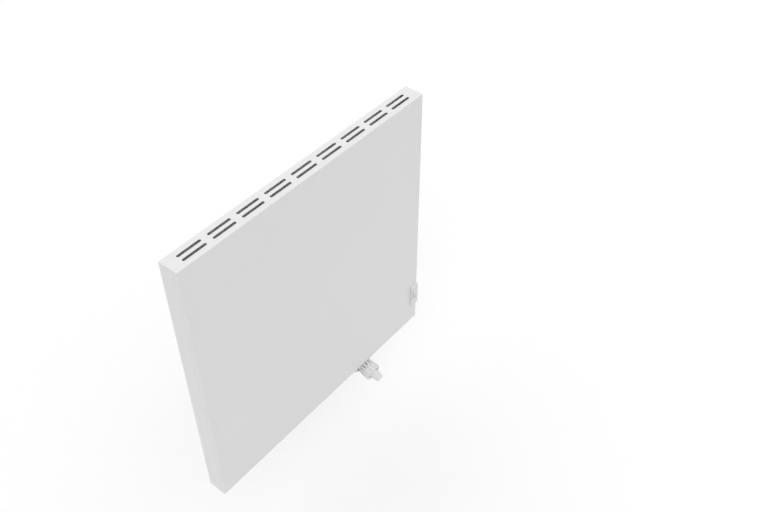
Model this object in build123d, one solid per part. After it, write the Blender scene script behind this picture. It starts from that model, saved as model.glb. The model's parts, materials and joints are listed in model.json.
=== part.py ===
"""Wall-hung panel convector heater, hydronic, with a built-in valve and a bottom connection block.

Millimetres. X runs to the right as seen from the room, Y runs to the wall and Z runs up.
The origin is the middle of the four wall screw holes, on the wall face.
"Depth" below is the distance behind the flat front sheet, towards the wall.
"""

import os
from math import ceil, cos, floor, radians, sin, sqrt

from build123d import *

# ---- casing ----
CASE_WIDTH = 900.0
CASE_HEIGHT = 900.0
CASE_DEPTH = 61.0
WALL_GAP = 28.0  # back of the casing to the wall
SHEET = 1.25  # casing and water panel sheet
FOLD_RADIUS = 1.0  # outer radius of the casing's folds
FRONT_RETURN = 12.0  # depth of the front sheet's folded edges
SEAM = 0.3  # visible joint between two casing sheets
SLIDE_GAP = 0.1  # between two sheets that slide into each other
TONGUE_REACH = 10.5  # joggled tongue under the front sheet's return
REAR_FLANGE = 16.0  # end cover's flange behind the rear sheet
SKIRT = 15.0  # grille's folded edges, front to back and sideways
CUT_PAST = 1.0  # how far a cutter runs past the face that it cuts

# ---- top grille ----
SLOT_LENGTH = 72.2
SLOT_WIDTH = 7.0
SLOT_END_MARGIN = 37.5  # casing's end to the last slot
SLOT_COUNT = 9
SLOT_ROW_GAP = 19.1

# ---- water panel ----
PANEL_LEFT_GAP = 26.0  # casing's end to the panel
PANEL_RIGHT_GAP = 93.0  # room for the riser and the valve
PANEL_BOTTOM_GAP = 28.0
PANEL_TOP_GAP = 25.0
CHANNEL_PITCH = 100.0 / 3
CHANNEL_EDGE = 20.0  # least distance of a channel's middle from the panel's edge
CHANNEL_BASE = 23.0
CHANNEL_CROWN = 17.0
CHANNEL_RISE = 5.6
HEADER_BASE = 30.0
HEADER_CROWN = 22.0
HEADER_INSET = 21.0  # header's middle to the panel's edge
HEADER_END_INSET = 12.0

# ---- convector fins ----
FIN_SHEET = 0.5
FIN_BACK_GAP = 17.0  # fins to the casing's back
FIN_LAND = 15.0  # flat that is welded on a channel's crown
FIN_BOTTOM_INSET = 47.0  # panel's lower edge to the fins
FIN_TOP_INSET = 45.0

# ---- hanging lugs, wall rails and locks ----
RAIL_WIDTH = 26.0
RAIL_DEPTH = 25.0
RAIL_SHEET = 2.5
RAIL_BOTTOM_INSET = 100.0  # casing's lower edge to the rail
RAIL_TOP_INSET = 78.0
WALL_HOLE_INSET = 190.0  # casing's upper and lower edge to the wall holes
WALL_HOLE_R = 4.5
LUG_SHEET = 2.5
LUG_HEIGHT = 20.0
LUG_BACK_GAP = 6.0  # lugs to the casing's back
LUG_EDGE_INSET = 150.0  # casing's upper and lower edge to the lugs' lower edges
HOOK_ARM = 10.0
HOOK_TIP = 3.0  # thickness of the upturned tip
HOOK_RISE = 12.0
PAD_SHEET = 2.0
PAD_GAP = 0.2
PAD_BACK_GAP = 3.0  # pads to the casing's back
LOCK_HEIGHT = 30.0
LOCK_FINGER = 6.0
LOCK_TRAVEL = 12.0
LOCK_GAP = 0.3
PEG_R = 1.4
PEG_GAP = 0.2
PEG_Z_ABOVE_LOCK = 14.0
LOCK_PULL_RISE = 22.0  # pull tab above the rail
LOCK_PULL_SHEET = 2.0
WINDOW_MARGIN = 6.0

# ---- screws and braces ----
SCREW_R = 2.0
SCREW_GAP = 0.1
SCREW_HEAD_R = 4.0
SCREW_HEAD = 2.4
SCREW_LENGTH = 9.0
SIDE_SCREW_COUNT = 4
SIDE_SCREW_END = 70.0  # casing's upper and lower edge to the last screw
SIDE_SCREW_INSET = 9.0
TOP_SCREW_PITCH = 200.0
TOP_SCREW_DROP = 9.0
BRACE_LEFT_GAP = 150.0  # casing's end to the last brace
BRACE_RIGHT_GAP = 120.0
BRACE_WIDTH = 20.0
BRACE_TAB = 17.0
SUPPORT_SLOT_GAPS = (-3.5, -0.5, 3.5)  # in slot pitches from the middle
SUPPORT_WIDTH = 16.0
SUPPORT_REACH = 20.0

# ---- air vent ----
VENT_SLOT = 3  # under this slot, counted in pitches from the middle
VENT_BOSS_R = 7.0
VENT_BOSS_LENGTH = 22.0
VENT_HEX = 10.0  # across flats
VENT_HEX_HEIGHT = 5.0
VENT_NECK_R = 4.5
VENT_NECK_HEIGHT = 5.0
VENT_BORE_R = 2.5
VENT_SCREW_SQUARE = 5.0
VENT_SCREW_HEAD = 5.0
VENT_SCREW_LENGTH = 14.0

# ---- built-in valve and its setting wheel, on an axis along X ----
VALVE_END_GAP = 55.0  # casing's right end to the valve body's axis
VALVE_HEIGHT = 125.0  # above the casing's lower edge
VALVE_DEPTH = 17.7
VALVE_BODY_R = 12.0
VALVE_BODY_HALF = 27.0
VALVE_BOSS_R = 13.0
VALVE_BOSS_LENGTH = 14.0
PIPE_R = 7.5
PIPE_WALL = 1.2
PIPE_SOCKET = 9.0
PIPE_GAP = 0.1
INSERT_R = 8.0
INSERT_HEX = 20.0
INSERT_BORE_R = 2.0
INSERT_START = 7.0  # from the valve body's axis
INSERT_END = 21.0
HEAD_BASE_R = 16.0
HEAD_BASE_FLANGE = 8.7
STUB_R = 9.0
CAPSULE_R = 6.0
CAPSULE_LIFT = 2.3  # above the flange, in its middle position
CAPSULE_LENGTH = 12.0
CHAMBER_SINK = 2.0  # floor of the capsule's chamber below the flange
PUSH_PIN_R = 1.5
RUNNING_GAP = 0.05
WHEEL_R = 30.0
WHEEL_BAND_DROP = 0.6  # the plain number band lies this far below the ribbed rims
WHEEL_WIDTH = 18.0
WHEEL_END_GAP = 0.3  # wheel to its flange and its retainer
WHEEL_RIM = 3.5
WHEEL_WEB = 3.0
WHEEL_HUB_R = 13.0
WHEEL_RIB_BAND = 4.5
WHEEL_FLUTES = 36
WHEEL_FLUTE_R = 1.3
RETAINER_R = 11.5
RETAINER_SHEET = 1.2

# ---- control plate on the front sheet ----
PLATE_WIDTH = 32.0
PLATE_BELOW = 51.0  # below the setting wheel's axis
PLATE_ABOVE = 37.0
PLATE_PROUD = 6.8
PLATE_WALL = 2.0
PLATE_CORNER = 1.0
WHEEL_SIDE_GAP = 1.0
PLATE_SCREW_INSET = 5.5
PLATE_BOSS_R = 4.0

# ---- pipes inside the casing ----
RETURN_PIPE_R = 9.0
RETURN_STRAIGHT = 1.5  # between the rear shell and the elbow's bend
FLOW_RUN_HEIGHT = 18.0  # above the casing's lower edge
FLOW_BEND = 9.0
RISER_BEND = 20.0
RISER_BOSS_R = 10.0
RISER_BOSS_LENGTH = 24.0
RISER_BOSS_PROUD = 10.0

# ---- bottom connection block ----
BLOCK_END_GAP = 259.0  # casing's right end to the block's middle
WAY_SPACING = 50.0
WAY_R = 14.0
WAY_BORE_R = 7.0
WAY_CHAMFER = 1.0
BLOCK_DROP = 12.0  # below the casing's lower edge
BLOCK_HEIGHT = 34.0
OUTLET_R = 9.3
OUTLET_DEPTH = 12.0
SPIGOT_R = 12.9
SPIGOT_HEIGHT = 10.0
GASKET = 2.0
COLLAR = 3.0
COLLAR_R = 12.5
NUT_HEX = 30.0
NUT_HEIGHT = 19.0
NUT_CHAMFER = 2.2
THREAD_GAP = 0.15
BRIDGE_R = 12.0

# ---- shut-off wheel of the connection block; stations run along its sloping axis ----
HEAD_SLOPE = 13.0  # degrees below the horizontal
HEAD_DROP = 18.0  # start of the axis below the block's top
HEAD_BOSS_R = 15.0
HEAD_BOSS_END = 17.5
PLUG_R = 9.0
PLUG_START = -9.0
PLUG_END = 50.0
PLUG_PORT_R = 5.0
GLAND_END = 23.5
GLAND_R = 16.0
SHROUD_R = 27.0
SHROUD_WALL = 2.5
SHROUD_START = 18.5
SHROUD_END = 35.5
SHROUD_FLOOR = 3.0
SHROUD_RIM = 0.6  # rounding of the sleeve's front rim
SHROUD_SLOTS = 14
SHROUD_SLOT_WIDTH = 3.6
SHROUD_SLOT_MARGIN = 2.0
HANDWHEEL_R = 29.4
HANDWHEEL_START = 36.0
HANDWHEEL_END = 61.0
HANDWHEEL_LOBES = 8
HANDWHEEL_TURN = 35.0  # degrees, first scallop from the horizontal when shut
LOBE_CUT_R = 9.0
LOBE_CUT_DEPTH = 3.0
HANDWHEEL_EDGE = 4.0
HANDWHEEL_BACK_EDGE = 1.0
DRIVE_SQUARE = 10.0
DRIVE_LENGTH = 6.0
NOSE_BASE_R = 16.5
NOSE_TIP_R = 12.2
NOSE_END = 88.4
NOSE_EDGE = 2.0
NOSE_WALL = 2.0
NOSE_SPIGOT_R = 11.5
NOSE_SPIGOT_LENGTH = 4.0
HUB_SCREW_R = 2.5
HUB_SCREW_HEAD_R = 5.0
HUB_SCREW_HEAD = 3.5
HUB_SCREW_LENGTH = 14.0
HUB_SCREW_WEB = 2.5  # of the wheel, under the screw's head
HUB_SCREW_SLOT = 1.2
HUB_SCREW_SLOT_DEPTH = 1.0
SEAL_SECTION_R = 1.0
SEAL_STATIONS = (10.5, 15.0)

# ---- worked out from the above ----
HALF_WIDTH = CASE_WIDTH / 2
HALF_HEIGHT = CASE_HEIGHT / 2
MID_DEPTH = CASE_DEPTH / 2
SLOT_PITCH = (CASE_WIDTH - 2 * SLOT_END_MARGIN - SLOT_LENGTH) / (SLOT_COUNT - 1)
PANEL_LEFT = PANEL_LEFT_GAP - HALF_WIDTH
PANEL_RIGHT = HALF_WIDTH - PANEL_RIGHT_GAP
PANEL_BOTTOM = PANEL_BOTTOM_GAP - HALF_HEIGHT
PANEL_TOP = HALF_HEIGHT - PANEL_TOP_GAP
FIRST_CHANNEL = ceil((PANEL_LEFT + CHANNEL_EDGE) / CHANNEL_PITCH)  # counted from the middle
LAST_CHANNEL = floor((PANEL_RIGHT - CHANNEL_EDGE) / CHANNEL_PITCH)
RAIL_CHANNEL = LAST_CHANNEL - 1  # the rails hang on this channel, left and right of the middle
RAIL_X = RAIL_CHANNEL * CHANNEL_PITCH
FIN_BACK_DEPTH = CASE_DEPTH - FIN_BACK_GAP
FIN_BOTTOM = PANEL_BOTTOM + FIN_BOTTOM_INSET
FIN_TOP = PANEL_TOP - FIN_TOP_INSET
RAIL_BOTTOM = RAIL_BOTTOM_INSET - HALF_HEIGHT
RAIL_TOP = HALF_HEIGHT - RAIL_TOP_INSET
WALL_HOLE_Z = HALF_HEIGHT - WALL_HOLE_INSET
LUG_BACK_DEPTH = CASE_DEPTH - LUG_BACK_GAP
LUG_EDGE_Z = HALF_HEIGHT - LUG_EDGE_INSET
LOWER_LUG_EDGE_Z = -LUG_EDGE_Z
TOP_SCREW_X = (-TOP_SCREW_PITCH, 0.0, TOP_SCREW_PITCH)
BRACE_X = (BRACE_LEFT_GAP - HALF_WIDTH, 0.0, HALF_WIDTH - BRACE_RIGHT_GAP)
VALVE_X = HALF_WIDTH - VALVE_END_GAP
VALVE_Z = VALVE_HEIGHT - HALF_HEIGHT
VALVE_BOSS_END_X = VALVE_X + VALVE_BOSS_LENGTH
PUSH_PIN_END_X = VALVE_X + INSERT_START
HEAD_BASE_X = VALVE_X + INSERT_END
HEAD_BASE_END_X = HEAD_BASE_X + HEAD_BASE_FLANGE
WHEEL_LEFT_X = HEAD_BASE_END_X + WHEEL_END_GAP
WHEEL_RIGHT_X = WHEEL_LEFT_X + WHEEL_WIDTH
STUB_END_X = WHEEL_RIGHT_X + WHEEL_END_GAP
CAPSULE_START_X = HEAD_BASE_END_X + CAPSULE_LIFT
PLATE_LEFT_X = HALF_WIDTH - PLATE_WIDTH
PLATE_BOTTOM_Z = VALVE_Z - PLATE_BELOW
PLATE_TOP_Z = VALVE_Z + PLATE_ABOVE
FLOW_RUN_Z = FLOW_RUN_HEIGHT - HALF_HEIGHT
BLOCK_X = HALF_WIDTH - BLOCK_END_GAP
BLOCK_TOP_Z = -HALF_HEIGHT - BLOCK_DROP
BLOCK_BOTTOM_Z = BLOCK_TOP_Z - BLOCK_HEIGHT
SPIGOT_TOP_Z = BLOCK_TOP_Z + SPIGOT_HEIGHT
HEAD_START_Z = BLOCK_TOP_Z - HEAD_DROP
SHELL_RISE = CHANNEL_RISE + SHEET
SEAM_DEPTH = SHEET + SHELL_RISE  # where the two water shells meet
CROWN_BACK_DEPTH = SEAM_DEPTH + SHELL_RISE
REAR_SHEET_BACK = CASE_DEPTH - SHEET
REAR_SHEET_FRONT = REAR_SHEET_BACK - SHEET
COVER_FRONT = FRONT_RETURN + SEAM
WEB_X = HALF_WIDTH - SHEET  # inner face of the end covers
TONGUE_X = WEB_X - SLIDE_GAP
TONGUE_INNER_X = TONGUE_X - SHEET
GRILLE_Z = HALF_HEIGHT - SHEET
HUB_SEAT = PLUG_END + HUB_SCREW_WEB  # station of the hub screw's seat
HEAD_AXIS = (0, -cos(radians(HEAD_SLOPE)), -sin(radians(HEAD_SLOPE)))


def at_depth(depth):
    """Y of a depth behind the front sheet's face."""
    return -(WALL_GAP + CASE_DEPTH) + depth


def block(x0, x1, y0, y1, z0, z1):
    """Box between two corners."""
    centre = Pos((x0 + x1) / 2, (y0 + y1) / 2, (z0 + z1) / 2)
    return centre * Box(abs(x1 - x0), abs(y1 - y0), abs(z1 - z0))


def slab(x0, x1, depth0, depth1, z0, z1):
    """Box whose front and back are given as depths."""
    return block(x0, x1, at_depth(depth0), at_depth(depth1), z0, z1)


def rod(start, direction, radius, length):
    """Cylinder from a point along a direction."""
    lying = Plane(origin=start, z_dir=direction)
    return lying * Cylinder(radius, length, align=(Align.CENTER, Align.CENTER, Align.MIN))


def tube_along(path, radius, wall=0.0):
    """Round bar swept along a wire, bored to a tube when a wall is given."""
    start = Plane(origin=path @ 0, z_dir=path % 0)
    bar = sweep(start * Circle(radius), path=path)
    if wall:
        bar -= sweep(start * Circle(radius - wall), path=path)
    return bar


def prism_along_x(corners, x0, x1):
    """Bar between two X values with an outline given as Y and Z."""
    outline = Plane.YZ.offset(x0) * Polygon(*corners, align=None)
    return extrude(outline, x1 - x0, dir=(1, 0, 0))


def prism_along_z(corners, z0, z1):
    """Bar between two heights with an outline given as X and Y."""
    return extrude(Pos(0, 0, z0) * Polygon(*corners, align=None), z1 - z0, dir=(0, 0, 1))


def hexagon_prism(start, direction, across_flats, length):
    """Hexagon bar from a point along a direction."""
    lying = Plane(origin=start, z_dir=direction)
    outline = RegularPolygon(across_flats / 2, 6, major_radius=False)
    return extrude(lying * outline, length)


def edges_through(shape, line):
    """Straight edges of a shape that lie on a line."""
    along = shape.edges().filter_by(line)
    return along.filter_by(
        lambda edge: (edge.center() - line.position).cross(line.direction).length < SLIDE_GAP
    )


def hexagon_nut(start, direction, across_flats, length):
    """Hexagon bar with its corners turned off at both ends."""
    turned = rod(start, direction, across_flats / (2 * cos(radians(30))), length)
    turned = chamfer(turned.edges().filter_by(GeomType.CIRCLE), NUT_CHAMFER)
    return hexagon_prism(start, direction, across_flats, length) & turned


def mirrored(shape):
    """The same shape on the other side of the middle."""
    return mirror(shape, about=Plane.YZ)


def save(shape, name):
    """One STEP file for one node."""
    solids = shape.solids()
    whole = solids[0] if len(solids) == 1 else Compound(children=list(solids))
    whole.label = name
    export_step(whole, f"parts/{name}.step")


# ---- casing sheets ----


def front_panel():
    """Flat front sheet, folded back on all four sides, with the setting wheel's window."""
    tray = slab(-HALF_WIDTH, HALF_WIDTH, 0, FRONT_RETURN, -HALF_HEIGHT, HALF_HEIGHT)
    tray = fillet(tray.faces().sort_by(Axis.Y)[0].edges(), FOLD_RADIUS)
    inside = HALF_WIDTH - SHEET
    inside_z = HALF_HEIGHT - SHEET
    tray -= slab(-inside, inside, SHEET, FRONT_RETURN + CUT_PAST, -inside_z, inside_z)
    half_chord = sqrt(WHEEL_R**2 - VALVE_DEPTH**2)
    tray -= slab(
        WHEEL_LEFT_X - WHEEL_SIDE_GAP,
        WHEEL_RIGHT_X + WHEEL_SIDE_GAP,
        -CUT_PAST,
        SHEET + CUT_PAST,
        VALVE_Z - half_chord - 2 * WHEEL_SIDE_GAP,
        VALVE_Z + half_chord + 2 * WHEEL_SIDE_GAP,
    )
    for place in plate_screw_places():
        tray -= rod(place, (0, -1, 0), SCREW_R + SCREW_GAP, 2 * SHEET)
    return tray


def end_cover():
    """Left end sheet: outer web, joggled tongue under the front sheet, flange at the back."""
    fold = COVER_FRONT + SHEET
    tongue_z = GRILLE_Z - SLIDE_GAP - SHEET - SLIDE_GAP
    web = slab(-HALF_WIDTH, -WEB_X, COVER_FRONT, CASE_DEPTH, -HALF_HEIGHT, HALF_HEIGHT)
    step = slab(-HALF_WIDTH, -TONGUE_INNER_X, COVER_FRONT, fold, -tongue_z, tongue_z)
    tongue = slab(-TONGUE_X, -TONGUE_INNER_X, fold - TONGUE_REACH, fold, -tongue_z, tongue_z)
    flange = slab(
        -HALF_WIDTH,
        -HALF_WIDTH + REAR_FLANGE,
        REAR_SHEET_BACK,
        CASE_DEPTH,
        -HALF_HEIGHT,
        HALF_HEIGHT - SKIRT - SEAM,
    )
    cover = web + step + tongue + flange
    for x, z in side_screw_places():
        cover -= screw_hole(-x, z)
    corner = (-HALF_WIDTH, at_depth(CASE_DEPTH), 0)
    return fillet(edges_through(cover, Axis(corner, (0, 0, 1))), FOLD_RADIUS)


def slot_x(count):
    """Middle of a slot, counted in pitches from the casing's middle."""
    return count * SLOT_PITCH


def top_grille():
    """Top sheet with two rows of round-ended slots and folded edges."""
    fold = COVER_FRONT + SHEET
    under = GRILLE_Z - SLIDE_GAP
    web = slab(-TONGUE_X, TONGUE_X, COVER_FRONT, CASE_DEPTH, GRILLE_Z, HALF_HEIGHT)
    inner = TONGUE_INNER_X - SLIDE_GAP
    step = slab(-inner, inner, COVER_FRONT, fold, under - SHEET, HALF_HEIGHT)
    tongue = slab(-inner, inner, fold - TONGUE_REACH, fold, under - SHEET, under)
    rear = slab(
        -TONGUE_X, TONGUE_X, REAR_SHEET_BACK, CASE_DEPTH, HALF_HEIGHT - SKIRT, HALF_HEIGHT
    )
    side_front = fold + SLIDE_GAP
    side_back = REAR_SHEET_FRONT - SLIDE_GAP
    side = slab(
        -TONGUE_X, -TONGUE_INNER_X, side_front, side_back, HALF_HEIGHT - SKIRT, HALF_HEIGHT
    )
    grille = web + step + tongue + rear + side + mirrored(side)
    slot = extrude(SlotOverall(SLOT_LENGTH, SLOT_WIDTH), SHEET + 2 * CUT_PAST)
    rows = GridLocations(SLOT_PITCH, SLOT_ROW_GAP, SLOT_COUNT, 2)
    middle = Pos(0, at_depth(MID_DEPTH), GRILLE_Z - CUT_PAST)
    grille -= [middle * place * slot for place in rows]
    for x in TOP_SCREW_X:
        grille -= screw_hole(x, HALF_HEIGHT - TOP_SCREW_DROP)
    corner = (0, at_depth(CASE_DEPTH), HALF_HEIGHT)
    return fillet(edges_through(grille, Axis(corner, (1, 0, 0))), FOLD_RADIUS)


def rear_panel():
    """Back sheet between the end covers, with four windows for the wall hooks."""
    edge = TONGUE_X
    sheet = slab(
        -edge,
        edge,
        REAR_SHEET_FRONT,
        REAR_SHEET_BACK,
        -HALF_HEIGHT + 2 * SHEET + SLIDE_GAP,
        GRILLE_Z - SLIDE_GAP,
    )
    half_window = RAIL_WIDTH / 2 + WINDOW_MARGIN
    arm_bottom = LUG_EDGE_Z - PAD_SHEET - HOOK_ARM
    window_top = LUG_EDGE_Z + LUG_HEIGHT + LOCK_FINGER + LOCK_TRAVEL + WINDOW_MARGIN
    lower_bottom = LOWER_LUG_EDGE_Z - PAD_SHEET - HOOK_ARM
    for side in (-1, 1):
        x = side * RAIL_X
        for z0, z1 in (
            (arm_bottom - WINDOW_MARGIN, window_top),
            (lower_bottom - WINDOW_MARGIN, LOWER_LUG_EDGE_Z + LUG_HEIGHT + WINDOW_MARGIN),
        ):
            sheet -= slab(
                x - half_window, x + half_window, REAR_SHEET_FRONT - CUT_PAST, CASE_DEPTH, z0, z1
            )
    for x, z in side_screw_places():
        sheet -= screw_hole(x, z)
        sheet -= screw_hole(-x, z)
    for x in TOP_SCREW_X:
        sheet -= screw_hole(x, HALF_HEIGHT - TOP_SCREW_DROP)
    return sheet


def side_screw_places():
    """Places of the right-hand casing screws, as X and Z."""
    end = HALF_HEIGHT - SIDE_SCREW_END
    pitch = 2 * end / (SIDE_SCREW_COUNT - 1)
    return [(HALF_WIDTH - SIDE_SCREW_INSET, k * pitch - end) for k in range(SIDE_SCREW_COUNT)]


def screw_hole(x, z):
    """Hole for a casing screw through the two sheets at the back."""
    start = (x, at_depth(REAR_SHEET_FRONT - CUT_PAST), z)
    return rod(start, (0, 1, 0), SCREW_R + SCREW_GAP, CASE_DEPTH)


def screw_from_back(x, z):
    """Pan-head screw driven forwards through the back sheets."""
    head = rod((x, at_depth(CASE_DEPTH), z), (0, 1, 0), SCREW_HEAD_R, SCREW_HEAD)
    head = chamfer(head.faces().sort_by(Axis.Y)[-1].edges(), SCREW_HEAD / 3)
    return head + rod((x, at_depth(CASE_DEPTH), z), (0, -1, 0), SCREW_R, SCREW_LENGTH)


def casing_screws():
    """All screws that hold the back sheet to the end covers and the grille."""
    places = [(sign * x, z) for x, z in side_screw_places() for sign in (-1, 1)]
    places += [(x, HALF_HEIGHT - TOP_SCREW_DROP) for x in TOP_SCREW_X]
    return Compound(children=[screw_from_back(x, z) for x, z in places])


def bottom_braces():
    """Straps across the open bottom, from the front sheet's return to the back sheet."""
    top = -HALF_HEIGHT + 2 * SHEET
    braces = []
    for x in BRACE_X:
        x0, x1 = x - BRACE_WIDTH / 2, x + BRACE_WIDTH / 2
        strap = slab(x0, x1, SHEET, REAR_SHEET_FRONT, top - SHEET, top)
        tab = slab(
            x0, x1, REAR_SHEET_FRONT - SHEET, REAR_SHEET_FRONT, top - SHEET, top + BRACE_TAB
        )
        braces.append(strap + tab)
    return Compound(children=braces)


def grille_supports():
    """Angle brackets from the water panel's top edge up to the grille, between the slots."""
    foot = PANEL_TOP - (HEADER_INSET - HEADER_BASE / 2)
    back = SEAM_DEPTH + SHEET
    top = GRILLE_Z - 2 * SLIDE_GAP - SHEET
    supports = []
    for count in SUPPORT_SLOT_GAPS:
        x0, x1 = slot_x(count) - SUPPORT_WIDTH / 2, slot_x(count) + SUPPORT_WIDTH / 2
        leg = slab(x0, x1, back, back + SHEET, foot, top)
        shelf = slab(x0, x1, back, back + SUPPORT_REACH, top - SHEET, top)
        supports.append(leg + shelf)
    return Compound(children=supports)


# ---- water panel and fins ----


def channel_centres():
    """X of every vertical water channel."""
    return [k * CHANNEL_PITCH for k in range(FIRST_CHANNEL, LAST_CHANNEL + 1)]


def trapezoid(centre, base, crown, foot, rise):
    """Corner points of one pressed channel: u across, w outwards."""
    half_base, half_crown = base / 2, crown / 2
    return [
        (centre - half_base, foot),
        (centre - half_crown, rise),
        (centre + half_crown, rise),
        (centre + half_base, foot),
    ]


def pressed_shell(outward):
    """Half of the water panel: a pressed sheet with channels between two headers.

    outward is -1 for the front shell and 1 for the rear shell.
    """
    low = PANEL_BOTTOM + HEADER_INSET
    high = PANEL_TOP - HEADER_INSET
    seam_y = at_depth(SEAM_DEPTH)
    wall = SHEET
    outline = [(PANEL_LEFT, 0), (PANEL_LEFT, wall)]
    for x in channel_centres():
        outline += trapezoid(x, CHANNEL_BASE, CHANNEL_CROWN, wall, SHELL_RISE)
    outline += [(PANEL_RIGHT, wall), (PANEL_RIGHT, 0)]
    outline = [(u, seam_y + outward * w) for u, w in outline]
    solid = prism_along_z(outline, low, high)
    solid += block(PANEL_LEFT, PANEL_RIGHT, seam_y, seam_y + outward * wall, PANEL_BOTTOM, PANEL_TOP)
    hollow = []
    for x in channel_centres():
        points = trapezoid(x, CHANNEL_BASE - 2 * wall, CHANNEL_CROWN - wall, 0, CHANNEL_RISE)
        points = [(u, seam_y + outward * w) for u, w in points]
        hollow.append(prism_along_z(points, low, high))
    x0 = PANEL_LEFT + HEADER_END_INSET
    x1 = PANEL_RIGHT - HEADER_END_INSET
    for z in (low, high):
        points = trapezoid(z, HEADER_BASE, HEADER_CROWN, 0, SHELL_RISE)
        solid += prism_along_x([(seam_y + outward * w, v) for v, w in points], x0, x1)
        points = trapezoid(z, HEADER_BASE - 2 * wall, HEADER_CROWN - wall, 0, CHANNEL_RISE)
        points = [(seam_y + outward * w, v) for v, w in points]
        hollow.append(prism_along_x(points, x0 + wall, x1 - wall))
    return solid - hollow


def riser_boss_bar():
    """Outer form of the boss through which the riser feeds the top header."""
    end = PANEL_RIGHT + RISER_BOSS_PROUD
    return rod((end, at_depth(VALVE_DEPTH), riser_top_z()), (-1, 0, 0), RISER_BOSS_R, RISER_BOSS_LENGTH)


def riser_top_z():
    """Height of the top header's middle."""
    return PANEL_TOP - HEADER_INSET


def front_water_shell():
    """Front half of the water panel."""
    return pressed_shell(-1) - riser_boss_bar()


def rear_water_shell():
    """Rear half of the water panel, with the opening of the return elbow."""
    shell = pressed_shell(1) - riser_boss_bar()
    centre = (return_x(), at_depth(SEAM_DEPTH), PANEL_BOTTOM + HEADER_INSET)
    return shell - rod(centre, (0, 1, 0), RETURN_PIPE_R - PIPE_WALL, 2 * SHELL_RISE)


def riser_boss():
    """Welded boss between riser and top header."""
    bore_start = (PANEL_RIGHT + RISER_BOSS_PROUD, at_depth(VALVE_DEPTH), riser_top_z())
    boss = riser_boss_bar() - rod(bore_start, (-1, 0, 0), PIPE_R + PIPE_GAP, PIPE_SOCKET)
    return boss - rod(bore_start, (-1, 0, 0), PIPE_R - PIPE_WALL, RISER_BOSS_LENGTH)


def fins(first, last):
    """Fin sheet as one corrugated ribbon from channel first to channel last."""
    front = CROWN_BACK_DEPTH
    half_land = FIN_LAND / 2
    near, far = [], []
    for k in range(first, last + 1):
        x = k * CHANNEL_PITCH
        rear_near = FIN_BACK_DEPTH - (FIN_SHEET if k > first else 0)
        rear_far = FIN_BACK_DEPTH - (FIN_SHEET if k < last else 0)
        near += [(x - half_land, rear_near), (x - half_land, front)]
        near += [(x + half_land, front), (x + half_land, rear_far)]
        far += [(x - half_land + FIN_SHEET, FIN_BACK_DEPTH)]
        far += [(x - half_land + FIN_SHEET, front + FIN_SHEET)]
        far += [(x + half_land - FIN_SHEET, front + FIN_SHEET)]
        far += [(x + half_land - FIN_SHEET, FIN_BACK_DEPTH)]
    ribbon = [(x, at_depth(depth)) for x, depth in near + far[::-1]]
    return prism_along_z(ribbon, FIN_BOTTOM, FIN_TOP)


def hanging_lug(x, edge_z):
    """Hat-shaped strap welded to the rear shell, one leg on each side of a channel."""
    leg_x = CHANNEL_PITCH / 2
    root = SEAM_DEPTH + SHEET
    top = edge_z + LUG_HEIGHT
    outer = slab(x - leg_x - LUG_SHEET / 2, x + leg_x + LUG_SHEET / 2, root, LUG_BACK_DEPTH, edge_z, top)
    inside = leg_x - LUG_SHEET / 2
    return outer - slab(
        x - inside, x + inside, root - CUT_PAST, LUG_BACK_DEPTH - LUG_SHEET, edge_z - CUT_PAST, top + CUT_PAST
    )


# ---- wall rails, pads and locks ----


def hook_points(edge_z):
    """Side outline of one hook arm with its upturned tip, as Y and Z."""
    top = edge_z - PAD_SHEET
    bottom = top - HOOK_ARM
    lug_front = LUG_BACK_DEPTH - LUG_SHEET
    tip_back = at_depth(lug_front - PAD_GAP - PAD_SHEET - PAD_GAP)
    tip_front = tip_back - HOOK_TIP
    root = RAIL_SHEET - RAIL_DEPTH
    return [
        (root, bottom),
        (tip_front, bottom + HOOK_TIP),
        (tip_front, top + HOOK_RISE),
        (tip_back, top + HOOK_RISE),
        (tip_back, top),
        (root, top),
    ]


def rail_flange(x0, x1):
    """One side of a rail with its two hook arms and the lock's guide slot."""
    side = block(x0, x1, -RAIL_DEPTH, 0, RAIL_BOTTOM, RAIL_TOP)
    for edge_z in (LUG_EDGE_Z, LOWER_LUG_EDGE_Z):
        side += prism_along_x(hook_points(edge_z), x0, x1)
    slot_r = PEG_R + PEG_GAP
    peg_z = lock_bottom_z() + PEG_Z_ABOVE_LOCK
    slot = SlotCenterToCenter(LOCK_TRAVEL, 2 * slot_r, rotation=90)
    middle = (x0 - CUT_PAST, lock_mid_y(), peg_z + LOCK_TRAVEL / 2)
    placed = Plane(origin=middle, x_dir=(0, 1, 0), z_dir=(1, 0, 0)) * slot
    return side - extrude(placed, x1 - x0 + 2 * CUT_PAST)


def lock_bottom_z():
    """Underside of the lock's finger, just above the upper lug."""
    return LUG_EDGE_Z + LUG_HEIGHT + LOCK_GAP


def lock_mid_y():
    """Middle of the lock slide between wall and rail front."""
    return -(RAIL_DEPTH + RAIL_SHEET) / 2


def wall_rail(x):
    """Channel rail screwed to the wall, with two hooks cut from its flanges."""
    half = RAIL_WIDTH / 2
    rail = block(x - half, x + half, -RAIL_SHEET, 0, RAIL_BOTTOM, RAIL_TOP)
    rail += rail_flange(x - half, x - half + RAIL_SHEET)
    rail += rail_flange(x + half - RAIL_SHEET, x + half)
    for z in (-WALL_HOLE_Z, WALL_HOLE_Z):
        rail -= rod((x, -RAIL_SHEET - CUT_PAST, z), (0, 1, 0), WALL_HOLE_R, RAIL_SHEET + 2 * CUT_PAST)
    return rail


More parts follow.
